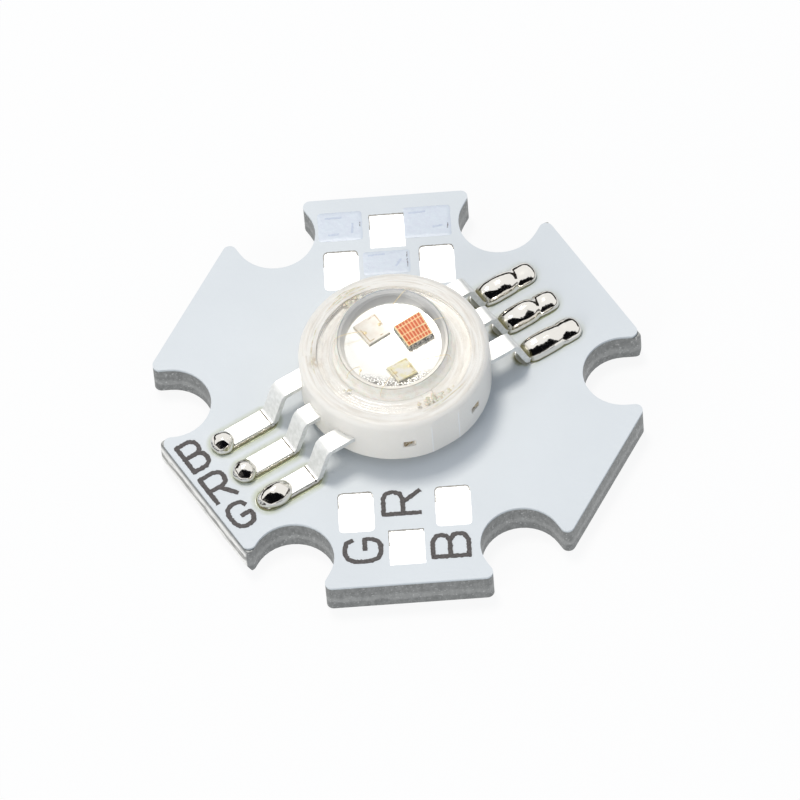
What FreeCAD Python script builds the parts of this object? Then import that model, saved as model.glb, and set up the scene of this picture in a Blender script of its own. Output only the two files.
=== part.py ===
import FreeCAD, Part
import math
import os
import re

import Sketcher

# Three-colour power LED on a star-shaped metal-core circuit board, in millimetres.
# The origin is the centre of the star on the underside of its aluminium base, with +Z up.
# The emitter's lead rows run along a line turned by lead_angle from +X.

SIZES = [
    # star board
    ("board_half_width", 10.0, "centre of the star to a straight flat"),
    ("panel_shift", 0.15, "offset of the two snapped flats, left by the panel's score lines"),
    ("notch_radius", 1.75, "radius of each screw notch"),
    ("notch_reach", 9.65, "centre of the star to the centre of a screw notch"),
    ("lobe_fillet", 0.3, "rounding of each corner between a flat and a notch"),
    ("score_top_width", 0.12, "slope of the score groove left on the upper edge"),
    ("score_bottom_width", 0.24, "slope of the score groove left on the lower edge"),
    ("score_depth", 0.5, "depth of each score groove"),
    ("base_thickness", 1.4, "aluminium base"),
    ("dielectric_thickness", 0.07, "insulating layer on the base"),
    ("copper_thickness", 0.035, "copper foil"),
    ("mask_thickness", 0.06, "solder mask, measured from the insulating layer"),
    # copper pattern
    ("lead_pad_overrun", 0.85, "a lead's pad opening beyond the lead's tip"),
    ("lead_pad_start", 4.95, "centre to the inner end of a lead's pad opening"),
    ("lead_pad_width", 1.2, "width of a lead's pad opening"),
    ("pad_overlap", 0.1, "how far the mask overlaps the copper round an opening"),
    ("side_pad_centre", 2.05, "centre line of the star to the middle of a side wire pad"),
    ("wire_pad_width", 1.5, "width of a wire pad opening"),
    ("side_pad_start", 5.25, "centre to the near edge of a side wire pad"),
    ("side_pad_length", 2.0, "length of a side wire pad"),
    ("middle_pad_start", 7.3, "centre to the near edge of the middle wire pad"),
    ("middle_pad_length", 1.75, "length of the middle wire pad"),
    ("track_width", 0.5, "width of a copper track"),
    ("inner_track_radius", 3.7, "centre line of the inner curved track"),
    ("outer_track_radius", 4.45, "centre line of the outer curved track"),
    ("slug_land_margin", 0.2, "copper land beyond the foot of the heat slug"),
    ("pad_corner", 0.2, "rounding of the side wire pads' corners"),
    # emitter
    ("lead_angle", 30.0, "direction of the lead rows from +X, in degrees"),
    ("lead_pitch", 1.75, "spacing of the leads in a row"),
    ("lead_width", 0.85, "width of a lead"),
    ("lead_thickness", 0.25, "thickness of the lead frame"),
    ("lead_level", 2.95, "underside of the lead frame inside the housing"),
    ("lead_gap", 0.12, "plastic between a lead's inner end and the slug's neck"),
    ("shoulder_reach", 4.8, "centre to the upper bend of a lead"),
    ("foot_start", 5.35, "centre to the lower bend of a lead"),
    ("lead_reach", 7.3, "centre to the tip of a lead"),
    ("bend_radius", 0.12, "inside radius of a lead's bends"),
    ("solder_gap", 0.03, "solder film between the copper and a lead's foot"),
    ("body_radius", 4.05, "outer radius of the moulded housing"),
    ("body_bottom", 1.97, "underside of the housing"),
    ("body_top", 4.32, "upper rim of the housing"),
    ("rim_fillet", 0.28, "rounding of the housing's upper outer edge"),
    ("foot_chamfer", 0.08, "chamfer of the housing's lower outer edge"),
    ("gate_flat_depth", 0.06, "depth of the flat left by the moulding gate"),
    ("well_radius", 2.4, "well round the slug's neck"),
    ("seat_radius", 3.3, "recess that the lens flange seats in"),
    ("seat_level", 4.0, "floor of that recess"),
    ("lens_clearance", 0.05, "gap between the lens flange and its recess"),
    ("tie_bar_offset", 1.65, "centre line of the housing to a tie bar"),
    ("tie_bar_width", 0.4, "width of a tie bar stub"),
    ("tie_bar_start", 2.7, "centre line of the housing to a stub's inner end"),
    ("tie_window_width", 0.52, "width of the recess round a cut tie bar"),
    ("tie_window_height", 0.36, "height of that recess"),
    ("tie_window_depth", 0.14, "depth of that recess"),
    # heat slug and optics
    ("compound_thickness", 0.05, "heat-conducting compound under the slug"),
    ("slug_base_radius", 2.9, "wide foot of the heat slug"),
    ("slug_shoulder", 2.7, "top of the wide foot"),
    ("slug_neck_radius", 1.82, "neck of the heat slug"),
    ("slug_top", 4.4, "rim of the reflector cup"),
    ("cup_rim_radius", 1.7, "reflector cup at its rim"),
    ("cup_floor_radius", 1.48, "reflector cup at its floor"),
    ("cup_depth", 0.2, "depth of the reflector cup"),
    ("slug_chamfer", 0.12, "chamfer of the slug's lower edge"),
    ("flange_thickness", 0.24, "thickness of the lens flange"),
    ("dome_radius", 2.6, "radius of the lens dome"),
    ("dome_collar", 0.06, "straight collar under the dome"),
    ("dish_radius", 2.38, "hollow under the lens"),
    ("dish_depth", 1.7, "height of that hollow"),
    ("port_start", 2.68, "centre to the inner side of a filling port in the lens flange"),
    ("port_end", 3.12, "centre to the outer side of a filling port"),
    ("port_length", 1.3, "length of a filling port"),
    ("runner_width", 0.5, "channel from a filling port to the well"),
    ("runner_depth", 0.3, "depth of that channel"),
    # dies and bond wires
    ("die_size", 0.72, "side of the blue and green dies"),
    ("die_height", 0.08, "height of the blue and green dies"),
    ("red_die_size", 0.85, "side of the red die"),
    ("red_die_height", 0.17, "height of the red die"),
    ("attach_thickness", 0.02, "die attach layer"),
    ("attach_margin", 0.02, "die attach beyond the die's edge"),
    ("blue_die_u", -0.1, "blue die along the lead rows"),
    ("blue_die_v", 0.945, "blue die across the lead rows"),
    ("green_die_u", -0.19, "green die along the lead rows"),
    ("green_die_v", -0.81, "green die across the lead rows"),
    ("red_die_u", 0.83, "red die along the lead rows"),
    ("red_die_v", 0.21, "red die across the lead rows"),
    ("wire_radius", 0.025, "radius of a bond wire"),
    ("wire_loop", 0.12, "height of a wire's loop above the reflector rim"),
    ("wire_bend", 0.05, "length of the slope at each end of a wire's loop"),
    # solder
    ("film_thickness", 0.02, "tinned film that fills a pad opening"),
    ("fillet_start", 5.7, "centre to the inner end round of the solder beside a foot"),
    ("fillet_overrun", 0.2, "outer end round of the solder beside a foot, beyond the lead's tip"),
    ("fillet_width", 0.57, "half width of the solder beside a foot, on the board"),
    ("fillet_top_width", 0.45, "half width of that solder against the foot"),
    ("fillet_height", 0.2, "height of that solder"),
    ("bead_overrun", 0.32, "middle of the bead on a foot, beyond the lead's tip"),
    ("bead_radius", 0.42, "radius of that bead"),
    ("bead_lift", 0.1, "straight part under that bead"),
    ("mound_start", 6.02, "centre to the inner end round of the mound over a whole foot"),
    ("mound_overrun", 0.26, "outer end round of that mound, beyond the lead's tip"),
    ("mound_width", 0.55, "half width of that mound, on the board"),
    ("mound_top_width", 0.2, "half width of that mound at its top"),
    ("mound_height", 0.62, "height of that mound"),
]

# Heights that several pieces share
DIELECTRIC_TOP = "base_thickness + dielectric_thickness"
COPPER_TOP = DIELECTRIC_TOP + " + copper_thickness"
SLUG_LAND_RADIUS = "slug_base_radius + slug_land_margin"
SLUG_BOTTOM = COPPER_TOP + " + compound_thickness"
LEAD_TOP = "lead_level + lead_thickness"
FOOT_BOTTOM = COPPER_TOP + " + solder_gap"
FOOT_TOP = FOOT_BOTTOM + " + lead_thickness"
CUP_FLOOR = "slug_top - cup_depth"
FLANGE_TOP = "seat_level + flange_thickness"
DOME_CENTRE = FLANGE_TOP + " + dome_collar"
FLANGE_RADIUS = "seat_radius - lens_clearance"
DISH_SPHERE = "(dish_radius * dish_radius + dish_depth * dish_depth) / (2 * dish_depth)"
TIP_RADIUS = "(slug_neck_radius + lead_gap)"
INNER_EDGE = "(lead_pitch - lead_width / 2)"
OUTER_LEAD_START = f"sqrt({TIP_RADIUS} * {TIP_RADIUS} - {INNER_EDGE} * {INNER_EDGE})"
SIDE_PAD_MIDDLE = "side_pad_start + side_pad_length / 2"
MIDDLE_PAD_MIDDLE = "middle_pad_start + middle_pad_length / 2"

ROWS = [("back", 1), ("middle", 0), ("front", -1)]
SIDES = [("left", 180), ("right", 0)]

doc = FreeCAD.newDocument("star_led")
sheet = doc.addObject("Spreadsheet::Sheet", "sizes")
for row_number, (alias, number, note) in enumerate(SIZES, start=1):
    sheet.set(f"A{row_number}", note)
    sheet.set(f"B{row_number}", str(number))
    sheet.setAlias(f"B{row_number}", alias)
doc.recompute()
ALIASES = {alias for alias, number, note in SIZES}
probe = doc.addObject("Part::Vertex", "probe")


def linked(formula):
    """Write each size's name in a formula the way an expression reads it from the sheet."""
    return re.sub(r"[a-z_]+", lambda word: "sizes." + word[0] if word[0] in ALIASES else word[0], formula)


def value(formula):
    """Work a formula out from the sheet, as a plain number."""
    probe.setExpression("X", linked(formula))
    probe.recompute()
    return probe.X.Value


def bind(thing, **formulas):
    """Tie properties of an object to formulas of the sheet's sizes."""
    for name, formula in formulas.items():
        thing.setExpression(name, linked(formula))
    return thing


def place(thing, x="0", y="0", z="0", turn="0"):
    """Put an object at a place, turned about Z."""
    thing.Placement = FreeCAD.Placement(FreeCAD.Vector(), FreeCAD.Rotation(FreeCAD.Vector(0, 0, 1), 1))
    thing.setExpression("Placement.Base.x", linked(x))
    thing.setExpression("Placement.Base.y", linked(y))
    thing.setExpression("Placement.Base.z", linked(z))
    thing.setExpression("Placement.Rotation.Angle", linked(turn))
    return thing


def place_along_leads(thing, u="0", v="0", z="0", half_turn=0):
    """Put an object at u along the lead rows and v across them."""
    turn = f"(lead_angle + {half_turn})"
    x = f"({u}) * cos({turn}) - ({v}) * sin({turn})"
    y = f"({u}) * sin({turn}) + ({v}) * cos({turn})"
    return place(thing, x, y, z, turn)


def row_offset(row, half_turn):
    """Formula for the place of a row across the leads, as its own side of the emitter sees it."""
    return f"{-row if half_turn == 180 else row} * lead_pitch"


def new_body(label):
    """Start a solid that is built from sketches."""
    body = doc.addObject("PartDesign::Body", label)
    body.Label = label
    return body


def new_sketch(body, name, plane="XY_Plane", offset="0", turn=0):
    """Add a sketch on one of the body's own planes, moved along the plane's normal."""
    sketch = body.newObject("Sketcher::SketchObject", name)
    origin_plane = next(item for item in body.Origin.OriginFeatures if item.Role == plane)
    sketch.AttachmentSupport = [(origin_plane, "")]
    sketch.MapMode = "FlatFace"
    sketch.AttachmentOffset = FreeCAD.Placement(FreeCAD.Vector(), FreeCAD.Rotation(FreeCAD.Vector(0, 1, 0), turn))
    sketch.setExpression("AttachmentOffset.Base.z", linked(offset))
    return sketch


def pin_point(sketch, geometry, end, x, y):
    """Hold one sketch point at the place that two formulas give."""
    for kind, axis, formula in (("DistanceX", -2, x), ("DistanceY", -1, y)):
        if formula == "0":
            sketch.addConstraint(Sketcher.Constraint("PointOnObject", geometry, end, axis))
        else:
            index = sketch.addConstraint(Sketcher.Constraint(kind, -1, 1, geometry, end, value(formula)))
            sketch.setExpression(f"Constraints[{index}]", linked(formula))


def bulged_edge(start, finish, radius, side):
    """Arc between two points that bulges to the right of the way it runs, or to the left with side -1."""
    chord = finish - start
    half = chord.Length / 2
    sideways = FreeCAD.Vector(chord.y, -chord.x, 0).normalize() * side
    sagitta = radius - math.sqrt(max(radius * radius - half * half, 0))
    return Part.Arc(start, (start + finish) / 2 + sideways * sagitta, finish)


def draw_outline(sketch, corners, arcs=None):
    """Draw a closed outline through corners given as formulas; arcs gives radius and side of a curved edge."""
    arcs = arcs or {}
    points = [FreeCAD.Vector(value(x), value(y), 0) for x, y in corners]
    starts = []
    for index, (x, y) in enumerate(corners):
        start = points[index]
        finish = points[(index + 1) % len(points)]
        if index in arcs:
            radius, way = arcs[index]
            side = sketch.addGeometry(bulged_edge(start, finish, value(radius), way), False)
            forward = (sketch.getPoint(side, 1) - start).Length < 1e-6
            starts.append((side, 1, 2) if forward else (side, 2, 1))
            held = sketch.addConstraint(Sketcher.Constraint("Radius", side, value(radius)))
            sketch.setExpression(f"Constraints[{held}]", linked(radius))
        else:
            side = sketch.addGeometry(Part.LineSegment(start, finish), False)
            starts.append((side, 1, 2))
    for index, (x, y) in enumerate(corners):
        side, start_end, finish_end = starts[index]
        following, next_start = starts[(index + 1) % len(corners)][:2]
        sketch.addConstraint(Sketcher.Constraint("Coincident", side, finish_end, following, next_start))
        pin_point(sketch, side, start_end, x, y)


def draw_box(sketch, x_low, x_high, y_low, y_high):
    """Draw a rectangle between four formulas."""
    draw_outline(sketch, [(x_low, y_low), (x_high, y_low), (x_high, y_high), (x_low, y_high)])


def draw_circle(sketch, x, y, radius):
    """Draw a circle from formulas for its centre and radius."""
    centre = FreeCAD.Vector(value(x), value(y), 0)
    circle = sketch.addGeometry(Part.Circle(centre, FreeCAD.Vector(0, 0, 1), value(radius)), False)
    index = sketch.addConstraint(Sketcher.Constraint("Radius", circle, value(radius)))
    sketch.setExpression(f"Constraints[{index}]", linked(radius))
    pin_point(sketch, circle, 3, x, y)


def add_pad(body, sketch, length, midplane=False):
    """Thicken a sketch into material."""
    pad = body.newObject("PartDesign::Pad", sketch.Name + "_pad")
    pad.Profile = sketch
    pad.Midplane = midplane
    bind(pad, Length=length)
    doc.recompute()


def add_pocket(body, sketch, length, reverse=False, midplane=False):
    """Cut a sketch out of the body, and make sure that it removed something."""
    before = body.Shape.Volume
    pocket = body.newObject("PartDesign::Pocket", sketch.Name + "_cut")
    pocket.Profile = sketch
    pocket.Midplane = midplane
    pocket.Reversed = reverse
    bind(pocket, Length=length)
    doc.recompute()
    if body.Shape.Volume > before - 1e-6:
        raise RuntimeError(f"{pocket.Name} cuts nothing")
    return pocket


def add_revolution(body, sketch):
    """Turn a half section about the sketch's vertical axis."""
    turned = body.newObject("PartDesign::Revolution", sketch.Name + "_turned")
    turned.Profile = sketch
    turned.ReferenceAxis = (sketch, ["V_Axis"])
    turned.Angle = 360
    doc.recompute()


def add_polar_pattern(body, features, count):
    """Repeat features round the body's Z axis."""
    pattern = body.newObject("PartDesign::PolarPattern", features[0].Name + "_ring")
    pattern.Originals = features
    axis = next(item for item in body.Origin.OriginFeatures if item.Role == "Z_Axis")
    pattern.Axis = (axis, [""])
    pattern.Angle = 360
    pattern.Occurrences = count
    body.Tip = pattern
    doc.recompute()


def add_edge_feature(body, kind, name, edges, **formulas):
    """Add a fillet or chamfer to chosen edges of the body's last feature."""
    previous = body.Tip
    feature = body.newObject(f"PartDesign::{kind}", name)
    feature.Base = (previous, [f"Edge{index + 1}" for index in edges])
    bind(feature, **formulas)
    doc.recompute()


def edges_where(shape, test):
    """Indices of the edges of a shape that pass a test."""
    return [index for index, edge in enumerate(shape.Edges) if test(edge)]


def is_straight_along(edge, direction):
    """Whether an edge is a straight line along a direction."""
    if edge.Curve.TypeId != "Part::GeomLine":
        return False
    return abs(abs(edge.Curve.Direction.dot(direction)) - 1) < 1e-6


def union(name, pieces):
    """Join several shapes into one."""
    joined = doc.addObject("Part::MultiFuse", name)
    joined.Shapes = pieces
    joined.Refine = True
    return joined


def difference(name, base, tool):
    """Cut one shape out of another."""
    cut = doc.addObject("Part::Cut", name)
    cut.Base = base
    cut.Tool = tool
    return cut


def star_layer(label, bottom, thickness, snapped_inset):
    """One layer of the board: a hexagon with six open screw notches and rounded lobes."""
    body = new_body(label)
    hexagon = new_sketch(body, label + "_hexagon", offset=bottom)
    reaches = {30: "board_half_width + panel_shift", 210: "board_half_width - panel_shift"}
    turns = [30 + 60 * step for step in range(6)]
    distances = [reaches[turn] + " - " + snapped_inset if turn in reaches else "board_half_width" for turn in turns]
    corner_radius = value("board_half_width") / math.cos(math.radians(30))
    for turn in turns:
        ends = [FreeCAD.Vector(corner_radius * math.cos(math.radians(turn + side)),
                               corner_radius * math.sin(math.radians(turn + side)), 0) for side in (-30, 30)]
        hexagon.addGeometry(Part.LineSegment(*ends), False)
    for index in range(6):
        hexagon.addConstraint(Sketcher.Constraint("Coincident", index, 2, (index + 1) % 6, 1))
    for index, (turn, distance) in enumerate(zip(turns, distances)):
        heading = math.remainder(math.radians(turn + 90), 2 * math.pi)
        hexagon.addConstraint(Sketcher.Constraint("Angle", index, heading))
        flat = hexagon.addConstraint(Sketcher.Constraint("Distance", -1, 1, index, value("board_half_width")))
        hexagon.setExpression(f"Constraints[{flat}]", linked(distance))
    add_pad(body, hexagon, thickness)
    mouth = new_sketch(body, label + "_mouth", offset=bottom)
    draw_box(mouth, "notch_reach", "notch_reach + 2 * notch_radius", "-notch_radius", "notch_radius")
    notch = new_sketch(body, label + "_notch", offset=bottom)
    draw_circle(notch, "notch_reach", "0", "notch_radius")
    cuts = [add_pocket(body, sketch, thickness, reverse=True) for sketch in (mouth, notch)]
    add_polar_pattern(body, cuts, 6)
    upright = FreeCAD.Vector(0, 0, 1)
    lobes = edges_where(body.Shape, lambda edge: is_straight_along(edge, upright))
    add_edge_feature(body, "Fillet", label + "_lobes", lobes, Radius="lobe_fillet")
    return body


def make_base_plate():
    """Aluminium base, with what is left of the panel's score grooves on its two snapped flats."""
    body = star_layer("base_plate", "0", "base_thickness", "0")
    right = "(board_half_width + panel_shift)"
    left = "(panel_shift - board_half_width)"
    score = new_sketch(body, "score_grooves", plane="XZ_Plane", turn=value("lead_angle"))
    score.setExpression("AttachmentOffset.Rotation.Angle", linked("lead_angle"))
    for flat, sign in ((right, "-"), (left, "+")):
        draw_outline(score, [(flat, "base_thickness"),
                             (flat, "base_thickness - score_depth"),
                             (f"{flat} {sign} score_top_width", "base_thickness")])
        draw_outline(score, [(flat, "0"),
                             (flat, "score_depth"),
                             (f"{flat} {sign} score_bottom_width", "0")])
    add_pocket(body, score, "2 * board_half_width", midplane=True)
    return body


def stadium(name, half_turn, row, inset, bottom, thickness):
    """Round-ended slab over a lead's pad, grown or shrunk by an inset."""
    half = f"(lead_pad_width / 2 + {inset})"
    start = "(lead_pad_start + lead_pad_width / 2)"
    finish = "(lead_reach + lead_pad_overrun - lead_pad_width / 2)"
    across = row_offset(row, half_turn)
    bar = doc.addObject("Part::Box", name + "_bar")
    bind(bar, Length=f"{finish} - {start}", Width=f"2 * {half}", Height=thickness)
    place_along_leads(bar, start, f"{across} - {half}", bottom, half_turn)
    ends = []
    for end, centre in (("inner", start), ("outer", finish)):
        disc = doc.addObject("Part::Cylinder", f"{name}_{end}")
        bind(disc, Radius=half, Height=thickness)
        ends.append(place_along_leads(disc, centre, across, bottom, half_turn))
    return [bar] + ends


def slab(name, x, y, length, width, bottom, thickness, turn="0"):
    """Flat box centred on x and y, with the star's own half turn."""
    box = doc.addObject("Part::Box", name)
    bind(box, Length=length, Width=width, Height=thickness)
    corner_x = f"({x}) - ({length}) / 2"
    corner_y = f"({y}) - ({width}) / 2"
    return place(box, f"({corner_x}) * cos({turn}) - ({corner_y}) * sin({turn})",
                 f"({corner_x}) * sin({turn}) + ({corner_y}) * cos({turn})", bottom, turn)


def wire_pad(name, row, inset, bottom, thickness, turn):
    """Slab for a row's wire pad: back goes to the far side pad, front to the near one."""
    width = f"wire_pad_width + 2 * ({inset})"
    if row == 0:
        return slab(name, "0", f"-({MIDDLE_PAD_MIDDLE})", width, f"middle_pad_length + 2 * ({inset})",
                    bottom, thickness, turn)
    return slab(name, f"{row} * side_pad_centre", f"-({SIDE_PAD_MIDDLE})", width,
                f"side_pad_length + 2 * ({inset})", bottom, thickness, turn)


def round_corners(box):
    """Round the four upright edges of a box."""
    box.recompute()
    rounded = doc.addObject("Part::Fillet", box.Name + "_rounded")
    rounded.Base = box
    radius = value("pad_corner")
    upright = edges_where(box.Shape, lambda edge: is_straight_along(edge, FreeCAD.Vector(0, 0, 1)))
    rounded.Edges = [(index + 1, radius, radius) for index in upright]
    return rounded


def ring_track(name, radius, start_angle, sweep, turn):
    """Curved copper track round the slug land, from a start angle through a sweep in degrees."""
    rims = []
    for edge, sign in (("outer", "+"), ("inner", "-")):
        disc = doc.addObject("Part::Cylinder", f"{name}_{edge}")
        bind(disc, Radius=f"{radius} {sign} track_width / 2", Height="copper_thickness", Angle=sweep)
        rims.append(place(disc, z=DIELECTRIC_TOP, turn=f"({start_angle}) + {turn}"))
    return difference(name, *rims)


def straight_track(name, start_x, start_y, angle, length, turn):
    """Straight copper track from a point, at an angle in degrees."""
    box = doc.addObject("Part::Box", name)
    bind(box, Length=length, Width="track_width", Height="copper_thickness")
    heading = f"({angle} + {turn})"
    corner_x = f"({start_x}) * cos({turn}) - ({start_y}) * sin({turn}) + track_width / 2 * sin({heading})"
    corner_y = f"({start_x}) * sin({turn}) + ({start_y}) * cos({turn}) - track_width / 2 * cos({heading})"
    return place(box, corner_x, corner_y, DIELECTRIC_TOP, heading)


def track_to_wire_pad(name, row, turn):
    """Copper from the inner end of a left lead's pad to its wire pad, before the half turn."""
    pad_x = "(lead_pad_start + lead_pad_width / 2)"
    start_x = f"(-{pad_x} * cos(lead_angle) - ({row}) * lead_pitch * sin(lead_angle))"
    start_y = f"(-{pad_x} * sin(lead_angle) + ({row}) * lead_pitch * cos(lead_angle))"
    start_radius = f"sqrt({pad_x} * {pad_x} + ({row}) * ({row}) * lead_pitch * lead_pitch)"
    bearing = f"(180 + lead_angle - ({row}) * atan(lead_pitch / {pad_x}) / 1 deg)"
    if row == -1:
        across = f"(-side_pad_centre - {start_x})"
        along = f"(-({SIDE_PAD_MIDDLE}) - {start_y})"
        return [straight_track(name + "_leg", start_x, start_y, f"(atan2({along}; {across}) / 1 deg)",
                               f"sqrt({across} * {across} + {along} * {along})", turn)]
    radius = "outer_track_radius" if row == 0 else "inner_track_radius"
    end_x = "0" if row == 0 else "side_pad_centre"
    end_bearing = f"(360 - acos({end_x} / {radius}) / 1 deg)"
    corner = f"asin(track_width / 2 / {radius}) / 1 deg"
    reach = MIDDLE_PAD_MIDDLE if row == 0 else SIDE_PAD_MIDDLE
    inward = straight_track(name + "_inward", start_x, start_y, f"({bearing} + 180)",
                            f"{start_radius} - {radius}", turn)
    curve = ring_track(name + "_curve", radius, f"{bearing} - {corner}",
                       f"{end_bearing} - {bearing} + 2 * {corner}", turn)
    depth = f"sqrt({radius} * {radius} - {end_x} * {end_x})"
    outward = straight_track(name + "_outward", end_x, f"-{depth}", "270", f"{reach} - {depth}", turn)
    return [inward, curve, outward]


def make_copper_net(label, side_turn, row):
    """One copper island: a lead's pad, its track and its wire pad. The right side is the left turned half round."""
    own_row = row if side_turn == 180 else -row
    turn = "0" if side_turn == 180 else "180"
    pieces = stadium(label + "_lead", side_turn, row, "pad_overlap", DIELECTRIC_TOP, "copper_thickness")
    pieces.append(wire_pad(label + "_wire", own_row, "pad_overlap", DIELECTRIC_TOP, "copper_thickness", turn))
    pieces += track_to_wire_pad(label + "_track", own_row, turn)
    net = union(label, pieces)
    net.Label = label
    return net


def make_slug_land():
    """Round copper land under the heat slug."""
    land = doc.addObject("Part::Cylinder", "slug_land")
    bind(land, Radius=SLUG_LAND_RADIUS, Height="copper_thickness")
    return place(land, z=DIELECTRIC_TOP)


def make_solder_mask(copper):
    """Mask layer with the copper let into its underside and an opening over each pad."""
    blank = star_layer("mask_blank", DIELECTRIC_TOP, "mask_thickness", "score_top_width")
    openings = list(copper)
    for side, half_turn in SIDES:
        for name, row in ROWS:
            openings += stadium(f"opening_{side}_{name}", half_turn, row, "0", DIELECTRIC_TOP, "mask_thickness")
    for end, turn in (("front", "0"), ("rear", "180")):
        for name, row in ROWS:
            opening = wire_pad(f"opening_{end}_wire_{name}", row, "0", DIELECTRIC_TOP, "mask_thickness", turn)
            openings.append(round_corners(opening) if row else opening)
    slug_opening = doc.addObject("Part::Cylinder", "opening_slug")
    bind(slug_opening, Radius=SLUG_LAND_RADIUS + " - pad_overlap", Height="mask_thickness")
    openings.append(place(slug_opening, z=DIELECTRIC_TOP))
    mask = difference("solder_mask", blank, union("mask_openings", openings))
    mask.Label = "solder_mask"
    return mask


def make_thermal_compound():
    """Heat-conducting layer between the land and the slug."""
    disc = doc.addObject("Part::Cylinder", "thermal_compound")
    bind(disc, Radius="slug_base_radius", Height="compound_thickness")
    return place(disc, z=COPPER_TOP)


def make_heat_slug():
    """Turned slug with a wide foot, a neck and a reflector cup."""
    body = new_body("heat_slug")
    section = new_sketch(body, "slug_section", plane="XZ_Plane")
    draw_outline(section, [("0", SLUG_BOTTOM),
                           ("slug_base_radius - slug_chamfer", SLUG_BOTTOM),
                           ("slug_base_radius", SLUG_BOTTOM + " + slug_chamfer"),
                           ("slug_base_radius", "slug_shoulder"),
                           ("slug_neck_radius", "slug_shoulder"),
                           ("slug_neck_radius", "slug_top"),
                           ("cup_rim_radius", "slug_top"),
                           ("cup_floor_radius", CUP_FLOOR),
                           ("0", CUP_FLOOR)])
    add_revolution(body, section)
    return body


def make_housing():
    """White moulded ring that holds the slug and the leads, with gate flats and tie bar windows."""
    body = new_body("housing")
    section = new_sketch(body, "housing_section", plane="XZ_Plane")
    draw_outline(section, [("slug_base_radius", "body_bottom"),
                           ("body_radius - foot_chamfer", "body_bottom"),
                           ("body_radius", "body_bottom + foot_chamfer"),
                           ("body_radius", "body_top - rim_fillet"),
                           ("body_radius - rim_fillet", "body_top"),
                           ("seat_radius", "body_top"),
                           ("seat_radius", "seat_level"),
                           ("well_radius", "seat_level"),
                           ("well_radius", LEAD_TOP),
                           ("slug_neck_radius", LEAD_TOP),
                           ("slug_neck_radius", "slug_shoulder"),
                           ("slug_base_radius", "slug_shoulder")],
                 arcs={3: ("rim_fillet", 1)})
    add_revolution(body, section)

    slots = new_sketch(body, "lead_slots", offset="lead_level")
    for name, row in ROWS:
        start = TIP_RADIUS if row == 0 else OUTER_LEAD_START
        low = f"{row} * lead_pitch - lead_width / 2"
        high = f"{row} * lead_pitch + lead_width / 2"
        draw_box(slots, start, "body_radius + lead_width", low, high)
        draw_box(slots, "-body_radius - lead_width", f"-{start}", low, high)
    add_pocket(body, slots, "lead_thickness", reverse=True)

    gate = new_sketch(body, "gate_flats", offset="body_bottom")
    flat = "(body_radius - gate_flat_depth)"
    draw_box(gate, "-body_radius / 2", "body_radius / 2", flat, "body_radius + lead_width")
    draw_box(gate, "-body_radius / 2", "body_radius / 2", "-body_radius - lead_width", f"-{flat}")
    add_pocket(body, gate, "body_top - body_bottom", reverse=True)

    surface = "sqrt(body_radius * body_radius - tie_bar_offset * tie_bar_offset)"
    middle = "(lead_level + lead_thickness / 2)"
    bars = new_sketch(body, "tie_bar_slots", offset="lead_level")
    windows = new_sketch(body, "tie_bar_windows", offset=f"{middle} - tie_window_height / 2")
    for side in ("", "-"):
        centre = f"{side}tie_bar_offset"
        draw_box(bars, f"{centre} - tie_bar_width / 2", f"{centre} + tie_bar_width / 2",
                 "tie_bar_start", "body_radius + lead_width")
        draw_box(bars, f"{centre} - tie_bar_width / 2", f"{centre} + tie_bar_width / 2",
                 "-body_radius - lead_width", "-tie_bar_start")
        draw_box(windows, f"{centre} - tie_window_width / 2", f"{centre} + tie_window_width / 2",
                 f"{surface} - tie_window_depth", "body_radius + lead_width")
        draw_box(windows, f"{centre} - tie_window_width / 2", f"{centre} + tie_window_width / 2",
                 "-body_radius - lead_width", f"tie_window_depth - {surface}")
    add_pocket(body, bars, "lead_thickness", reverse=True)
    add_pocket(body, windows, "tie_window_height", reverse=True)

    runners = new_sketch(body, "filling_runners", offset="seat_level - runner_depth")
    draw_runners(runners)
    add_pocket(body, runners, "runner_depth", reverse=True)
    return place_along_leads(body)


def make_lead(label, half_turn, row):
    """Gull-wing lead: a tail in the housing, a shoulder, a sloping riser and a foot."""
    body = new_body(label)
    start = TIP_RADIUS if row == 0 else OUTER_LEAD_START
    rise = f"({LEAD_TOP} - ({FOOT_TOP}))"
    run = "(foot_start - shoulder_reach)"
    slope = f"sqrt({rise} * {rise} + {run} * {run})"
    shift = f"lead_thickness * ({slope} - {run}) / {rise}"
    profile = new_sketch(body, label + "_profile", plane="XZ_Plane")
    draw_outline(profile, [(start, "lead_level"),
                           (f"shoulder_reach - ({shift})", "lead_level"),
                           (f"foot_start - ({shift})", FOOT_BOTTOM),
                           ("lead_reach", FOOT_BOTTOM),
                           ("lead_reach", FOOT_TOP),
                           ("foot_start", FOOT_TOP),
                           ("shoulder_reach", LEAD_TOP),
                           (start, LEAD_TOP)])
    add_pad(body, profile, "lead_width", midplane=True)
    across = FreeCAD.Vector(0, 1, 0)
    shoulder = value("shoulder_reach") - value(shift) - 0.01
    foot = value("foot_start") + 0.01
    bends = edges_where(body.Shape, lambda edge: is_straight_along(edge, across)
                        and shoulder < edge.CenterOfMass.x < foot)
    bends.sort(key=lambda index: -body.Shape.Edges[index].CenterOfMass.z)
    outer = [body.Shape.Edges[bends[0]].CenterOfMass, body.Shape.Edges[bends[3]].CenterOfMass]
    add_edge_feature(body, "Fillet", label + "_inside_bends", bends[1:3], Radius="bend_radius")
    outside = edges_where(body.Shape, lambda edge: is_straight_along(edge, across)
                          and min((edge.CenterOfMass - point).Length for point in outer) < 1e-6)
    add_edge_feature(body, "Fillet", label + "_outside_bends", outside, Radius="bend_radius + lead_thickness")
    return place_along_leads(body, v=row_offset(row, half_turn), half_turn=half_turn)


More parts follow.
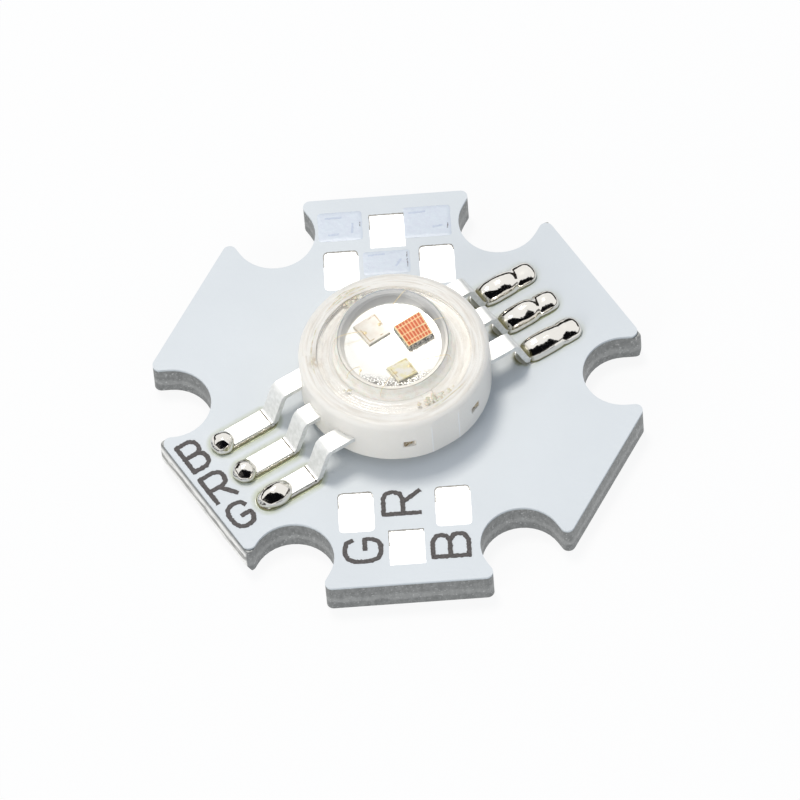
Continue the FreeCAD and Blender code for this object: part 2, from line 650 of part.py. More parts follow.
def make_tie_bar(label, side, end):
    """Stub of the lead frame's tie bar, cut off inside its window."""
    surface = "sqrt(body_radius * body_radius - tie_bar_offset * tie_bar_offset)"
    bar = doc.addObject("Part::Box", label)
    length = f"({surface} - tie_window_depth / 2 - tie_bar_start)"
    bind(bar, Length="tie_bar_width", Width=length, Height="lead_thickness")
    low = "tie_bar_start" if end > 0 else f"-tie_bar_start - {length}"
    return place_along_leads(bar, f"{side} * tie_bar_offset - tie_bar_width / 2", low, "lead_level")


def tapered_mound(name, half_turn, row, start, finish, width, top_width, height):
    """Round-ended mound that narrows upwards from the copper."""
    across = row_offset(row, half_turn)
    bar = new_body(name + "_bar")
    section = new_sketch(bar, name + "_section", plane="YZ_Plane", offset=start)
    draw_outline(section, [("-" + width, "0"), (width, "0"), (top_width, height), ("-" + top_width, height)])
    add_pad(bar, section, f"{finish} - {start}")
    pieces = [place_along_leads(bar, v=across, z=COPPER_TOP, half_turn=half_turn)]
    for end, centre in (("inner", start), ("outer", finish)):
        cone = doc.addObject("Part::Cone", f"{name}_{end}")
        bind(cone, Radius1=width, Radius2=top_width, Height=height)
        pieces.append(place_along_leads(cone, centre, across, COPPER_TOP, half_turn))
    return pieces


def solder_bead(name, half_turn, row):
    """Ball of solder on the tip of a foot."""
    across = row_offset(row, half_turn)
    foot = doc.addObject("Part::Cylinder", name + "_foot")
    bind(foot, Radius="bead_radius", Height="bead_lift")
    ball = doc.addObject("Part::Sphere", name + "_ball")
    ball.Angle1 = 0
    bind(ball, Radius="bead_radius")
    return [place_along_leads(foot, "lead_reach + bead_overrun", across, COPPER_TOP, half_turn),
            place_along_leads(ball, "lead_reach + bead_overrun", across, COPPER_TOP + " + bead_lift", half_turn)]


def make_solder_joint(label, half_turn, row, lead):
    """Solder that fills a pad's opening, wets the foot and, on the right row, covers it."""
    film = stadium(label + "_film", half_turn, row, "0", COPPER_TOP, "film_thickness")
    if half_turn == 180:
        lumps = tapered_mound(label + "_fillet", half_turn, row, "fillet_start", "(lead_reach + fillet_overrun)",
                              "fillet_width", "fillet_top_width", "fillet_height")
        lumps += solder_bead(label + "_bead", half_turn, row)
    else:
        lumps = tapered_mound(label + "_mound", half_turn, row, "mound_start", "(lead_reach + mound_overrun)",
                              "mound_width", "mound_top_width", "mound_height")
    joint = difference(label, union(label + "_mass", film + lumps), lead)
    joint.Label = label
    return joint


def make_die(colour, size_name, height_name):
    """A square die and the attach layer under it, on the floor of the cup."""
    die_u = f"{colour}_die_u"
    die_v = f"{colour}_die_v"
    attach = doc.addObject("Part::Box", "die_attach_" + colour)
    pad_size = f"({size_name} + 2 * attach_margin)"
    bind(attach, Length=pad_size, Width=pad_size, Height="attach_thickness")
    place_along_leads(attach, f"{die_u} - {pad_size} / 2", f"{die_v} - {pad_size} / 2", CUP_FLOOR)
    die = doc.addObject("Part::Box", "die_" + colour)
    bind(die, Length=size_name, Width=size_name, Height=height_name)
    place_along_leads(die, f"{die_u} - {size_name} / 2", f"{die_v} - {size_name} / 2",
                      f"{CUP_FLOOR} + attach_thickness")
    return [attach, die]


def make_bond_wire(label, start, start_z, tip):
    """Fine wire from a bond on a die, over the reflector rim and down to a lead's inner end."""
    low = value(start_z)
    high = value("slug_top + wire_loop")
    bend = value("wire_bend")
    first = FreeCAD.Vector(value(start[0]), value(start[1]), 0)
    last = FreeCAD.Vector(value(tip[0]), value(tip[1]), 0)
    along = (last - first).normalize() * bend
    upright = FreeCAD.Vector(0, 0, 1)
    route = [first + upright * low, first + upright * (high - bend), first + along + upright * high,
             last - along + upright * high, last + upright * (high - bend), last + upright * value(LEAD_TOP)]
    corners = [FreeCAD.Rotation(upright, 60 * step).multVec(FreeCAD.Vector(value("wire_radius"), 0, 0))
               for step in range(7)]
    ring = Part.makePolygon([route[0] + corner for corner in corners])
    wire = doc.addObject("Part::Feature", label)
    wire.Shape = Part.makePolygon(route).makePipeShell([ring], True, False, 1)
    wire.Placement = FreeCAD.Placement(FreeCAD.Vector(), FreeCAD.Rotation(upright, value("lead_angle")))
    return wire


def make_bond_wires():
    """Two wires for each die; the red die's second wire starts on the cup's floor."""
    blue_top = f"{CUP_FLOOR} + attach_thickness + die_height"
    red_top = f"{CUP_FLOOR} + attach_thickness + red_die_height"
    corner_u = f"({OUTER_LEAD_START} + 4 * wire_radius)"
    corner_v = f"({INNER_EDGE} + 4 * wire_radius)"
    middle_u = f"({TIP_RADIUS} + 4 * wire_radius)"
    bond = "die_size / 3"
    return [
        make_bond_wire("bond_wire_blue_left", (f"blue_die_u - {bond}", "blue_die_v"), blue_top,
                       (f"-{corner_u}", corner_v)),
        make_bond_wire("bond_wire_blue_right", (f"blue_die_u + {bond}", "blue_die_v"), blue_top,
                       (corner_u, corner_v)),
        make_bond_wire("bond_wire_green_left", (f"green_die_u - {bond}", "green_die_v"), blue_top,
                       (f"-{corner_u}", f"-{corner_v}")),
        make_bond_wire("bond_wire_green_right", (f"green_die_u + {bond}", "green_die_v"), blue_top,
                       (corner_u, f"-{corner_v}")),
        make_bond_wire("bond_wire_red_top", ("red_die_u", "red_die_v"), red_top, (middle_u, "0")),
        make_bond_wire("bond_wire_red_floor", ("-cup_floor_radius + 8 * wire_radius", "0"), CUP_FLOOR,
                       (f"-{middle_u}", "0")),
    ]


def draw_ports(sketch):
    """Draw the two filling ports in the lens flange."""
    draw_box(sketch, "-port_length / 2", "port_length / 2", "port_start", "port_end")
    draw_box(sketch, "-port_length / 2", "port_length / 2", "-port_end", "-port_start")


def draw_runners(sketch):
    """Draw the two channels that lead from the filling ports to the well."""
    draw_box(sketch, "-runner_width / 2", "runner_width / 2", "well_radius - lead_gap", "port_end")
    draw_box(sketch, "-runner_width / 2", "runner_width / 2", "-port_end", "lead_gap - well_radius")


def make_encapsulant(inner_pieces):
    """Clear gel that fills the cup, the well, the hollow of the lens and both filling ports."""
    body = new_body("gel_fill")
    section = new_sketch(body, "gel_section", plane="XZ_Plane")
    draw_outline(section, [("0", CUP_FLOOR),
                           ("cup_floor_radius", CUP_FLOOR),
                           ("cup_rim_radius", "slug_top"),
                           ("slug_neck_radius", "slug_top"),
                           ("slug_neck_radius", LEAD_TOP),
                           ("well_radius", LEAD_TOP),
                           ("well_radius", "seat_level"),
                           ("dish_radius", "seat_level"),
                           ("0", "seat_level + dish_depth")],
                 arcs={7: (DISH_SPHERE, 1)})
    add_revolution(body, section)
    runners = new_sketch(body, "gel_runners", offset="seat_level - runner_depth")
    draw_runners(runners)
    add_pad(body, runners, "runner_depth")
    ports = new_sketch(body, "gel_ports", offset="seat_level")
    draw_ports(ports)
    add_pad(body, ports, "flange_thickness")
    place_along_leads(body)
    gel = difference("encapsulant", body, union("inner_pieces", inner_pieces))
    gel.Label = "encapsulant"
    return gel


def make_lens():
    """Clear lens: a flange that seats in the housing, a dome and a hollow underside."""
    body = new_body("lens")
    section = new_sketch(body, "lens_section", plane="XZ_Plane")
    draw_outline(section, [("dish_radius", "seat_level"),
                           (FLANGE_RADIUS, "seat_level"),
                           (FLANGE_RADIUS, FLANGE_TOP),
                           ("dome_radius", FLANGE_TOP),
                           ("dome_radius", DOME_CENTRE),
                           ("0", f"{DOME_CENTRE} + dome_radius"),
                           ("0", "seat_level + dish_depth")],
                 arcs={4: ("dome_radius", 1), 6: (DISH_SPHERE, -1)})
    add_revolution(body, section)
    ports = new_sketch(body, "lens_ports", offset="seat_level")
    draw_ports(ports)
    add_pocket(body, ports, "flange_thickness", reverse=True)
    return place_along_leads(body)


def make_parts():
    """Build every piece and return them in the order of the stack."""
    parts = [make_base_plate(),
             star_layer("dielectric_layer", "base_thickness", "dielectric_thickness", "score_top_width")]
    copper = [make_copper_net(f"copper_{side}_{name}", half_turn, row)
              for side, half_turn in SIDES for name, row in ROWS]
    copper.append(make_slug_land())
    parts += copper
    parts += [make_solder_mask(copper), make_thermal_compound(), make_heat_slug(), make_housing()]
    parts += [make_tie_bar(f"tie_bar_{end}_{side}", sideways, outward)
              for end, outward in (("back", 1), ("front", -1)) for side, sideways in (("left", -1), ("right", 1))]
    for side, half_turn in SIDES:
        for name, row in ROWS:
            lead = make_lead(f"lead_{side}_{name}", half_turn, row)
            parts += [lead, make_solder_joint(f"solder_{side}_{name}", half_turn, row, lead)]
    inner = make_die("blue", "die_size", "die_height")
    inner += make_die("green", "die_size", "die_height")
    inner += make_die("red", "red_die_size", "red_die_height")
    inner += make_bond_wires()
    return parts + inner + [make_encapsulant(inner), make_lens()]


def check_and_write(parts):
    """Stop on any broken object, then write each piece to a file of its own."""
    doc.recompute()
    for thing in doc.Objects:
        if "Invalid" in thing.State or "Error" in thing.State:
            raise RuntimeError(f"{thing.Label} did not build: {thing.State}")
    for part in parts:
        if part.Shape.isNull() or not part.Shape.isValid() or part.Shape.Volume <= 0:
            raise RuntimeError(f"{part.Label} has no valid solid")
    os.makedirs("parts", exist_ok=True)
    for part in parts:
        part.Shape.exportStep(f"parts/{part.Label}.step")


if __name__ == "__main__":
    check_and_write(make_parts())
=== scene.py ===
import math

import bmesh
import bpy
from bpy.props import FloatProperty, IntProperty, PointerProperty, StringProperty
from mathutils import Matrix, Vector, noise


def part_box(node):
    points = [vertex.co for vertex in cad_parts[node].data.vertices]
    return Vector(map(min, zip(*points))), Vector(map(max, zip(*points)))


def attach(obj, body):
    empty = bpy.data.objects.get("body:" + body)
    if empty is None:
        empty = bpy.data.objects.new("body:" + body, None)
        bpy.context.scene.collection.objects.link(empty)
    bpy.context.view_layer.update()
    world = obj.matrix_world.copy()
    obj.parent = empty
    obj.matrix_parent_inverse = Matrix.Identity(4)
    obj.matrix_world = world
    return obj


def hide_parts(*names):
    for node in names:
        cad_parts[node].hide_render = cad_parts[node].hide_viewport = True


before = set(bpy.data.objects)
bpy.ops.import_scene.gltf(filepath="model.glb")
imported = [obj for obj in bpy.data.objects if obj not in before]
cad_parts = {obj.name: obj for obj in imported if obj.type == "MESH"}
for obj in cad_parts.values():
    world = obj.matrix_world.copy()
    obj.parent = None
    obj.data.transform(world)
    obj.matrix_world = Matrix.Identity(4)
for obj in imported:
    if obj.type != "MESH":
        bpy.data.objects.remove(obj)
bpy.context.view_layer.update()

bl_info = {
    "name": "Star Board Power LED",
    "version": (1, 0, 0),
    "blender": (4, 5, 0),
    "location": "View3D > Sidebar > Star LED",
    "description": "Dresses a colour power LED on its star-shaped circuit board",
    "category": "Object",
}

# One millimetre in metres, each side's half turn in degrees, each row's place and the rows' direction
MM = 0.001
SIDES = {"left": 180, "right": 0}
ROWS = {"back": 1, "middle": 0, "front": -1}
LEAD_ANGLE = math.radians(30)

# Sizes and levels in millimetres, as the solids have them
LEAD_PITCH = 1.75
COPPER_TOP = 1.505
MASK_TOP = 1.53
PAD_INNER = 5.55
PAD_OUTER = 7.55
FOOT_HALF = 0.425
CUP_FLOOR = 4.2
CUP_TOP = 4.4
CUP_RADIUS = 1.48
CUP_RIM = 1.7
NECK_RADIUS = 1.82
WELL_RADIUS = 2.4
WELL_FLOOR = 3.2
SEAT_LEVEL = 4.0
FLANGE_LEVEL = 4.24
FLANGE_RADIUS = 3.25
HOUSING_TOP = 4.32

# Places of marks in millimetres: the crease of a lead, the snapped edge, a brown spot, and seams in degrees
FOOT_CREASE = 5.49
SNAPPED_EDGE = (9.75, 9.79)
BROWN_SPOT = (-3.3, -0.35, HOUSING_TOP)
MOULD_SEAMS = (-70, -51)

# Half the width of solder on a pad; print and the clear body reach a little into what carries them
SOLDER_HALF = 0.585
PRINT_BASE = MASK_TOP - 0.004
SUNK = 0.015


# Settings

class BoardSettings(bpy.types.PropertyGroup):
    mask_colour: StringProperty(name="Solder mask", description="White solder mask with a blue cast",
                                default="DDE2E5")
    patch_colour: StringProperty(name="Overprinted patch", description="Second coat of mask over an old mark",
                                 default="D9DFE9")
    ink_colour: StringProperty(name="Marking ink", description="Screen printed letters", default="44403F")
    aluminium_colour: StringProperty(name="Aluminium", description="Cut edge of the base", default="939595")
    tin_colour: StringProperty(name="Tin", description="Bare wire pads", default="FCFCFB")
    stroke_width: FloatProperty(name="Stroke", description="Width of a printed stroke", default=0.2 * MM,
                                unit="LENGTH", precision=5)
    ink_height: FloatProperty(name="Ink height", description="Thickness of the print", default=0.012 * MM,
                              unit="LENGTH", precision=6)


class EmitterSettings(bpy.types.PropertyGroup):
    housing_colour: StringProperty(name="Housing", description="Moulded white ring", default="F7F3EB")
    smear_colour: StringProperty(name="Smear", description="Warm streaks of silicone over the ring's seat",
                                 default="D8CEBF")
    silver_colour: StringProperty(name="Silver", description="Plated lead frame and slug", default="F9F9F6")
    solder_colour: StringProperty(name="Solder", description="Bright solder", default="ECE9E3")
    # Flux residue and painted shade low beside a foot
    flux_and_shade_colour: StringProperty(name="Flux", description="Flux residue beside a foot", default="6E6436")
    red_die_colour: StringProperty(name="Red die", description="Crystal between the contact fingers",
                                   default="D6550C")
    blue_die_colour: StringProperty(name="Blue die", description="Clear crystal, unlit", default="EBE0D0")
    green_die_colour: StringProperty(name="Green die", description="Clear crystal, unlit", default="F0E6B2")
    gold_colour: StringProperty(name="Gold", description="Bond wires", default="EBDAB2")
    wire_radius: FloatProperty(name="Wire radius", description="Radius of a gold wire", default=0.01 * MM,
                               unit="LENGTH", precision=6)
    gel_index: FloatProperty(name="Lens index", description="Refractive index of the lens and its gel",
                             default=1.41, min=1.3, max=1.7)
    dome_radius: FloatProperty(name="Dome radius", description="Radius of the lens dome", default=2.6 * MM,
                               unit="LENGTH", precision=4)
    turns: IntProperty(name="Lens facets", description="Steps round the lens", default=180, min=24, max=360)


class StudioSettings(bpy.types.PropertyGroup):
    azimuth: FloatProperty(name="Azimuth", description="Turn of the camera from the front",
                           default=math.radians(1.166), unit="ROTATION")
    elevation: FloatProperty(name="Elevation", description="Height of the camera over the board",
                             default=math.radians(55.352), unit="ROTATION")
    roll: FloatProperty(name="Roll", description="Tilt of the camera about its own axis",
                        default=math.radians(-5.057), unit="ROTATION")
    distance: FloatProperty(name="Distance", description="Camera to the origin", default=474.97 * MM,
                            unit="LENGTH")
    focal_length: FloatProperty(name="Focal length", description="Of a 36 mm wide sensor, in millimetres",
                                default=11166 / 800 * 36)
    offset_right: FloatProperty(name="Offset right", description="Camera beside the line to the origin",
                                default=0.054 * MM, unit="LENGTH")
    offset_up: FloatProperty(name="Offset up", description="Camera above the line to the origin",
                             default=0.317 * MM, unit="LENGTH")
    room_light: FloatProperty(name="Room light", description="Brightness of the room", default=0.49)
    key_power: FloatProperty(name="Key light", description="Power of the softbox overhead", default=1.05,
                             unit="POWER")
    fill_power: FloatProperty(name="Fill light", description="Power of the low lamp in front", default=0.82,
                              unit="POWER")


class StarLedSettings(bpy.types.PropertyGroup):
    board: PointerProperty(type=BoardSettings)
    emitter: PointerProperty(type=EmitterSettings)
    studio: PointerProperty(type=StudioSettings)


def board():
    """Settings of the board."""
    return bpy.context.scene.star_led.board


def emitter():
    """Settings of the emitter."""
    return bpy.context.scene.star_led.emitter


# Materials

def linear(colour, alpha=1.0):
    """Turn a hex sRGB colour into the linear values that a shader takes."""
    parts = [int(colour[i:i + 2], 16) / 255 for i in (0, 2, 4)]
    return tuple(c / 12.92 if c <= 0.04045 else ((c + 0.055) / 1.055) ** 2.4 for c in parts) + (alpha,)


def new_material(name):
    """An empty node material."""
    material = bpy.data.materials.new(name)
    material.use_nodes = True
    material.node_tree.nodes.clear()
    return material


def add(owner, kind, inputs=(), **settings):
    """Add a node with its settings. Inputs, in order or by name: values, hex colours, nodes or sockets."""
    node = owner.node_tree.nodes.new("ShaderNode" + kind)
    for name, value in settings.items():
        setattr(node, name, value)
    for key, value in inputs.items() if isinstance(inputs, dict) else enumerate(inputs):
        if isinstance(value, bpy.types.Node):
            value = next(socket for socket in value.outputs if socket.enabled)
        if isinstance(value, bpy.types.NodeSocket):
            owner.node_tree.links.new(value, node.inputs[key])
        else:
            node.inputs[key].default_value = linear(value) if isinstance(value, str) else value
    return node


def place_on(material):
    """A point's place on the object, in millimetres."""
    return add(material, "VectorMath", {0: add(material, "TexCoord").outputs["Object"], "Scale": 1 / MM},
               operation="SCALE")


def grain(material, size, detail=3.0, stretch=(1, 1, 1)):
    """Mottling with grains of a size in millimetres, drawn out where stretch is under 1."""
    where = add(material, "Mapping", {"Vector": place_on(material), "Scale": stretch})
    return add(material, "TexNoise", {"Vector": where, "Scale": 1 / size, "Detail": detail})


def from_axis(material):
    """A point's distance from the emitter's axis."""
    x, y = add(material, "SeparateXYZ", [place_on(material)]).outputs[:2]
    return add(material, "VectorMath", [add(material, "CombineXYZ", [x, y, 0.0])], operation="LENGTH")


def lead_plane(material):
    """A point's distance from the middle along the lead rows, and its place across them."""
    turned = add(material, "VectorRotate", {"Vector": place_on(material), "Angle": -LEAD_ANGLE},
                 rotation_type="Z_AXIS")
    along, across = add(material, "SeparateXYZ", [turned]).outputs[:2]
    return add(material, "Math", [along], operation="ABSOLUTE"), across


def cut_aluminium():
    """Rolled aluminium, punched and snapped: mid grey and grainy with painted glints, streaked and under a
    painted highlight where it snapped.
    """
    material = new_material("cut_aluminium")
    grit = grain(material, 0.16, 4.0, (1, 1, 0.5))
    sparkle = grain(material, 0.09, 2.0)
    streaks = grain(material, 0.3, 4.0, (0.5, 0.5, 4))
    z = add(material, "SeparateXYZ", [place_on(material)]).outputs["Z"]
    torn = add(material, "Math", [grain(material, 0.5, 2.0), 0.5, z], operation="MULTIPLY_ADD")
    limits = [add(material, "MapRange", [torn, *levels]) for levels in ((0.62, 0.72), (1.1, 0.9))]
    band = add(material, "Math", limits, operation="MULTIPLY")
    # Painted glints: a lighter band partway up the edge, and lighter specks
    specks = add(material, "MapRange", [sparkle, 0.6, 0.76, 0.0, 0.6])
    glint = add(material, "Math", [band, 0.16, specks], operation="MULTIPLY_ADD")
    rolled = add(material, "MapRange", [grit, 0.35, 0.68])
    tone = add(material, "Mix", {0: rolled, 6: "7C7E7E", 7: board().aluminium_colour}, data_type="RGBA")
    tone = add(material, "Mix", {0: glint, 6: tone, 7: "DEE0E0"}, data_type="RGBA")
    # Painted highlight on the snapped edge at the left front, with darker streaks in it
    wavy = add(material, "Math", [streaks, 0.5, z], operation="MULTIPLY_ADD")
    limits = [add(material, "MapRange", [wavy, *levels]) for levels in ((0.98, 1.06), (1.3, 1.2))]
    crack = add(material, "Math", limits, operation="MULTIPLY")
    lit_snapped_tone = add(material, "Mix", {0: crack, 6: "F4F4F2", 7: "A2A2A0"}, data_type="RGBA")
    dull = add(material, "MapRange", [streaks, 0.55, 0.7])
    lit_snapped_tone = add(material, "Mix", {0: dull, 6: lit_snapped_tone, 7: "CFCFCC"}, data_type="RGBA")
    outward = (-math.cos(LEAD_ANGLE), -math.sin(LEAD_ANGLE), 0.0)
    out = add(material, "VectorMath", [place_on(material), outward], operation="DOT_PRODUCT")
    snapped = add(material, "MapRange", [out, *SNAPPED_EDGE])
    height = add(material, "Math", [grit, sparkle], operation="ADD")
    add(material, "OutputMaterial", [add(material, "BsdfPrincipled", {
        "Base Color": add(material, "Mix", {0: snapped, 6: tone, 7: lit_snapped_tone}, data_type="RGBA"),
        "Metallic": 0.85, "Roughness": add(material, "MapRange", [grit, 0.0, 1.0, 0.42, 0.6]),
        "Normal": add(material, "Bump", {"Height": height, "Distance": 0.012 * MM})})])
    return material


def filled_epoxy():
    """Ceramic filled epoxy under the copper, cut with the board: chalky, seen only as a line at the edge."""
    material = new_material("filled_epoxy")
    speckle = grain(material, 0.06)
    tone = add(material, "Mix", {0: speckle, 6: "B9C2C6", 7: "D5DCDF"}, data_type="RGBA")
    add(material, "OutputMaterial", [add(material, "BsdfPrincipled", {"Base Color": tone, "Roughness": 0.7})])
    return material


def white_mask():
    """Printed and cured solder mask: even satin with a slight orange peel, stained by flux at the feet, and a
    dark olive pool of flux and painted shade under the right shoulders.
    """
    material = new_material("white_solder_mask")
    cloud = add(material, "MapRange", [grain(material, 4.0, 2.0), 0.3, 0.7])
    peel = grain(material, 0.35, 2.0)
    weave = grain(material, 0.08, 1.0)
    tone = add(material, "Mix", {0: cloud, 6: board().mask_colour, 7: "E1E6E9"}, data_type="RGBA")
    along, across = lead_plane(material)
    row = add(material, "Math", [across, LEAD_PITCH], operation="DIVIDE")
    row = add(material, "Clamp", [add(material, "Math", [row], operation="ROUND"), -1.0, 1.0])
    beside = add(material, "Math", [row, -LEAD_PITCH, across], operation="MULTIPLY_ADD")
    outer = add(material, "Math", [along, PAD_OUTER], operation="SUBTRACT")
    inner = add(material, "Math", [PAD_INNER, along], operation="SUBTRACT")
    beyond = add(material, "Math", [outer, inner], operation="MAXIMUM")
    beyond = add(material, "Math", [beyond, 0.0], operation="MAXIMUM")
    from_pad = add(material, "CombineXYZ", [beside, beyond, 0.0])
    from_pad = add(material, "VectorMath", [from_pad], operation="LENGTH")
    x = add(material, "SeparateXYZ", [place_on(material)]).outputs["X"]
    patchy = add(material, "MapRange", [grain(material, 0.5, 2.0), 0.3, 0.6, 0.5, 0.85])
    fainter = add(material, "MapRange", [x, -1.0, 1.0, 1.0, 0.35])
    patchy = add(material, "Math", [patchy, fainter], operation="MULTIPLY")
    near = add(material, "MapRange", [from_pad, 0.84, 0.66])
    stain = add(material, "Math", [near, patchy], operation="MULTIPLY")
    tone = add(material, "Mix", {0: stain, 6: tone, 7: "C3C9B4"}, data_type="RGBA")
    # Dark olive pool under the right leads' shoulders: flux residue and painted shade
    inner = add(material, "Math", [inner, 0.3], operation="SUBTRACT")
    under = add(material, "CombineXYZ", [beside, inner, 0.0])
    under = add(material, "VectorMath", [under], operation="LENGTH")
    ragged = add(material, "Math", [grain(material, 0.3, 2.0), 0.3, under], operation="MULTIPLY_ADD")
    flux_and_shade_pool = add(material, "MapRange", [ragged, 0.68, 0.5, 0.0, 0.9])
    flux_and_shade_pool = add(material, "Math", [flux_and_shade_pool, add(material, "MapRange", [x, 0.0, 1.0])], operation="MULTIPLY")
    height = add(material, "Math", [weave, 0.25, peel], operation="MULTIPLY_ADD")
    add(material, "OutputMaterial", [add(material, "BsdfPrincipled", {
        "Base Color": add(material, "Mix", {0: flux_and_shade_pool, 6: tone, 7: "8A855F"}, data_type="RGBA"),
        "Roughness": 0.42, "IOR": 1.5,
        "Normal": add(material, "Bump", {"Height": height, "Distance": 0.004 * MM})})])
    return material


def second_coat():
    """A second coat of the same mask over an old mark: bluer and a little glossier."""
    material = new_material("second_mask_coat")
    peel = grain(material, 0.2, 3.0)
    thin = add(material, "MapRange", [peel, 0.35, 0.65])
    tone = add(material, "Mix", {0: thin, 6: board().patch_colour, 7: "DCE4EC"}, data_type="RGBA")
    add(material, "OutputMaterial", [add(material, "BsdfPrincipled", {
        "Base Color": tone, "Roughness": 0.34, "IOR": 1.5,
        "Normal": add(material, "Bump", {"Height": peel, "Distance": 0.01 * MM})})])
    return material


def printed_ink(name, colour, thin_colour):
    """Screen printed ink: matt and thin at places, so that the mesh of the screen shows."""
    material = new_material(name)
    mottle = grain(material, 0.09, 2.0)
    thin = add(material, "MapRange", [mottle, 0.4, 0.62])
    add(material, "OutputMaterial", [add(material, "BsdfPrincipled", {
        "Base Color": add(material, "Mix", {0: thin, 6: colour, 7: thin_colour}, data_type="RGBA"),
        "Roughness": 0.6, "Normal": add(material, "Bump", {"Height": mottle, "Distance": 0.006 * MM})})])
    return material


def hot_air_tin():
    """Copper levelled with tin: bright and silky, with a slow wave."""
    material = new_material("hot_air_tin")
    wave = grain(material, 0.9, 1.0)
    add(material, "OutputMaterial", [add(material, "BsdfPrincipled", {
        "Base Color": board().tin_colour, "Metallic": 0.6,
        "Roughness": add(material, "MapRange", [wave, 0.0, 1.0, 0.28, 0.4]),
        "Normal": add(material, "Bump", {"Height": wave, "Distance": 0.012 * MM})})])
    return material


def heat_compound():
    """Heat conducting compound: white paste, matt."""
    material = new_material("heat_compound")
    lumps = grain(material, 0.2)
    add(material, "OutputMaterial", [add(material, "BsdfPrincipled", {
        "Base Color": add(material, "Mix", {0: lumps, 6: "D8D8D4", 7: "ECECE8"}, data_type="RGBA"),
        "Roughness": 0.8, "Normal": add(material, "Bump", {"Height": lumps, "Distance": 0.02 * MM})})])
    return material


def plated_slug():
    """Turned copper slug, silver plated: a bright cup floor, scaly in front, and a duller wall and rim with
    painted shade, grey towards the back and darker as it climbs.
    """
    material = new_material("silver_plated_slug")
    y, z = add(material, "SeparateXYZ", [place_on(material)]).outputs[1:]
    scales = add(material, "TexVoronoi", {"Vector": place_on(material), "Scale": 1 / 0.06}, feature="F1")
    wall = add(material, "MapRange", [z, CUP_FLOOR + 0.005, CUP_FLOOR + 0.03])
    front = add(material, "Math", [add(material, "MapRange", [y, -0.75, -1.15]),
                                   add(material, "MapRange", [from_axis(material), 0.95, 1.3])],
                operation="MULTIPLY")
    on_floor = add(material, "MapRange", [z, CUP_FLOOR + 0.03, CUP_FLOOR + 0.005])
    front = add(material, "Math", [front, on_floor], operation="MULTIPLY")
    raised = add(material, "MapRange", [scales, 0.3, 0.62])
    scaly = add(material, "Math", [front, raised], operation="MULTIPLY")
    floor = add(material, "Mix", {0: scaly, 6: emitter().silver_colour, 7: "8B8984"}, data_type="RGBA")
    # Painted shade: the wall and rim grey towards the back and darker higher up
    climb = add(material, "MapRange", [z, CUP_FLOOR, CUP_TOP])
    shaded_far_wall = add(material, "Mix", {0: climb, 6: "C4C3C0", 7: "A3A3A2"}, data_type="RGBA")
    back = add(material, "MapRange", [y, -0.3, 1.2])
    turned = add(material, "Mix", {0: back, 6: "EFEAE0", 7: shaded_far_wall}, data_type="RGBA")
    height = add(material, "Math", [scales, front], operation="MULTIPLY")
    add(material, "OutputMaterial", [add(material, "BsdfPrincipled", {
        "Base Color": add(material, "Mix", {0: wall, 6: floor, 7: turned}, data_type="RGBA"),
        "Metallic": add(material, "MapRange", [wall, 0.0, 1.0, 1.0, 0.2]),
        "Roughness": add(material, "MapRange", [wall, 0.0, 1.0, 0.2, 0.45]),
        "Normal": add(material, "Bump", {"Height": height, "Distance": 0.012 * MM})})])
    return material


def moulded_housing():
    """Moulded white polymer: satin, faintly translucent, with silicone streaks round the seat of the lens."""
    material = new_material("moulded_white_polymer")
    x, y, z = add(material, "SeparateXYZ", [place_on(material)]).outputs
    reach = from_axis(material)
    angle = add(material, "Math", [y, x], operation="ARCTAN2")
    swirl = add(material, "CombineXYZ", [add(material, "Math", [angle, 1.3], operation="MULTIPLY"),
                                         add(material, "Math", [reach, 4.5], operation="MULTIPLY"), z])
    streaks = add(material, "TexNoise", {"Vector": swirl, "Scale": 1.6, "Detail": 5.0, "Roughness": 0.6})
    crown = add(material, "Math", [add(material, "MapRange", [reach, 4.0, 3.7]),
                                   add(material, "MapRange", [z, 3.1, 3.3])], operation="MULTIPLY")
    smear = add(material, "MapRange", [streaks, 0.44, 0.68, 0.0, 0.7])
    smear = add(material, "Math", [crown, smear], operation="MULTIPLY")
    tone = add(material, "Mix", {0: smear, 6: emitter().housing_colour, 7: emitter().smear_colour},
               data_type="RGBA")
    from_spot = add(material, "VectorMath", [place_on(material), BROWN_SPOT], operation="DISTANCE")
    mottle = add(material, "MapRange", [grain(material, 0.25, 3.0), 0.4, 0.6, 0.2, 0.9])
    brown = add(material, "MapRange", [from_spot, 0.45, 0.12])
    brown = add(material, "Math", [brown, mottle], operation="MULTIPLY")
    tone = add(material, "Mix", {0: brown, 6: tone, 7: "C9B89E"}, data_type="RGBA")
    seams = [add(material, "Math", [angle, math.radians(turn), 0.006], operation="COMPARE")
             for turn in MOULD_SEAMS]
    seam = add(material, "Math", seams, operation="MAXIMUM")
    for limit in (add(material, "MapRange", [reach, 3.98, 4.02]), add(material, "MapRange", [z, 4.0, 3.7])):
        seam = add(material, "Math", [seam, limit], operation="MULTIPLY")
    swell = add(material, "Math", [streaks, crown], operation="MULTIPLY")
    height = add(material, "Math", [swell, 3.0, grain(material, 0.09, 2.0)], operation="MULTIPLY_ADD")
    add(material, "OutputMaterial", [add(material, "BsdfPrincipled", {
        "Base Color": add(material, "Mix", {0: seam, 6: tone, 7: "FCFBF8"}, data_type="RGBA"),
        "Roughness": 0.42, "IOR": 1.55, "Subsurface Weight": 0.12, "Subsurface Scale": 0.4 * MM,
        "Subsurface Radius": (1.0, 0.9, 0.8),
        "Normal": add(material, "Bump", {"Height": height, "Distance": 0.012 * MM})})])
    return material


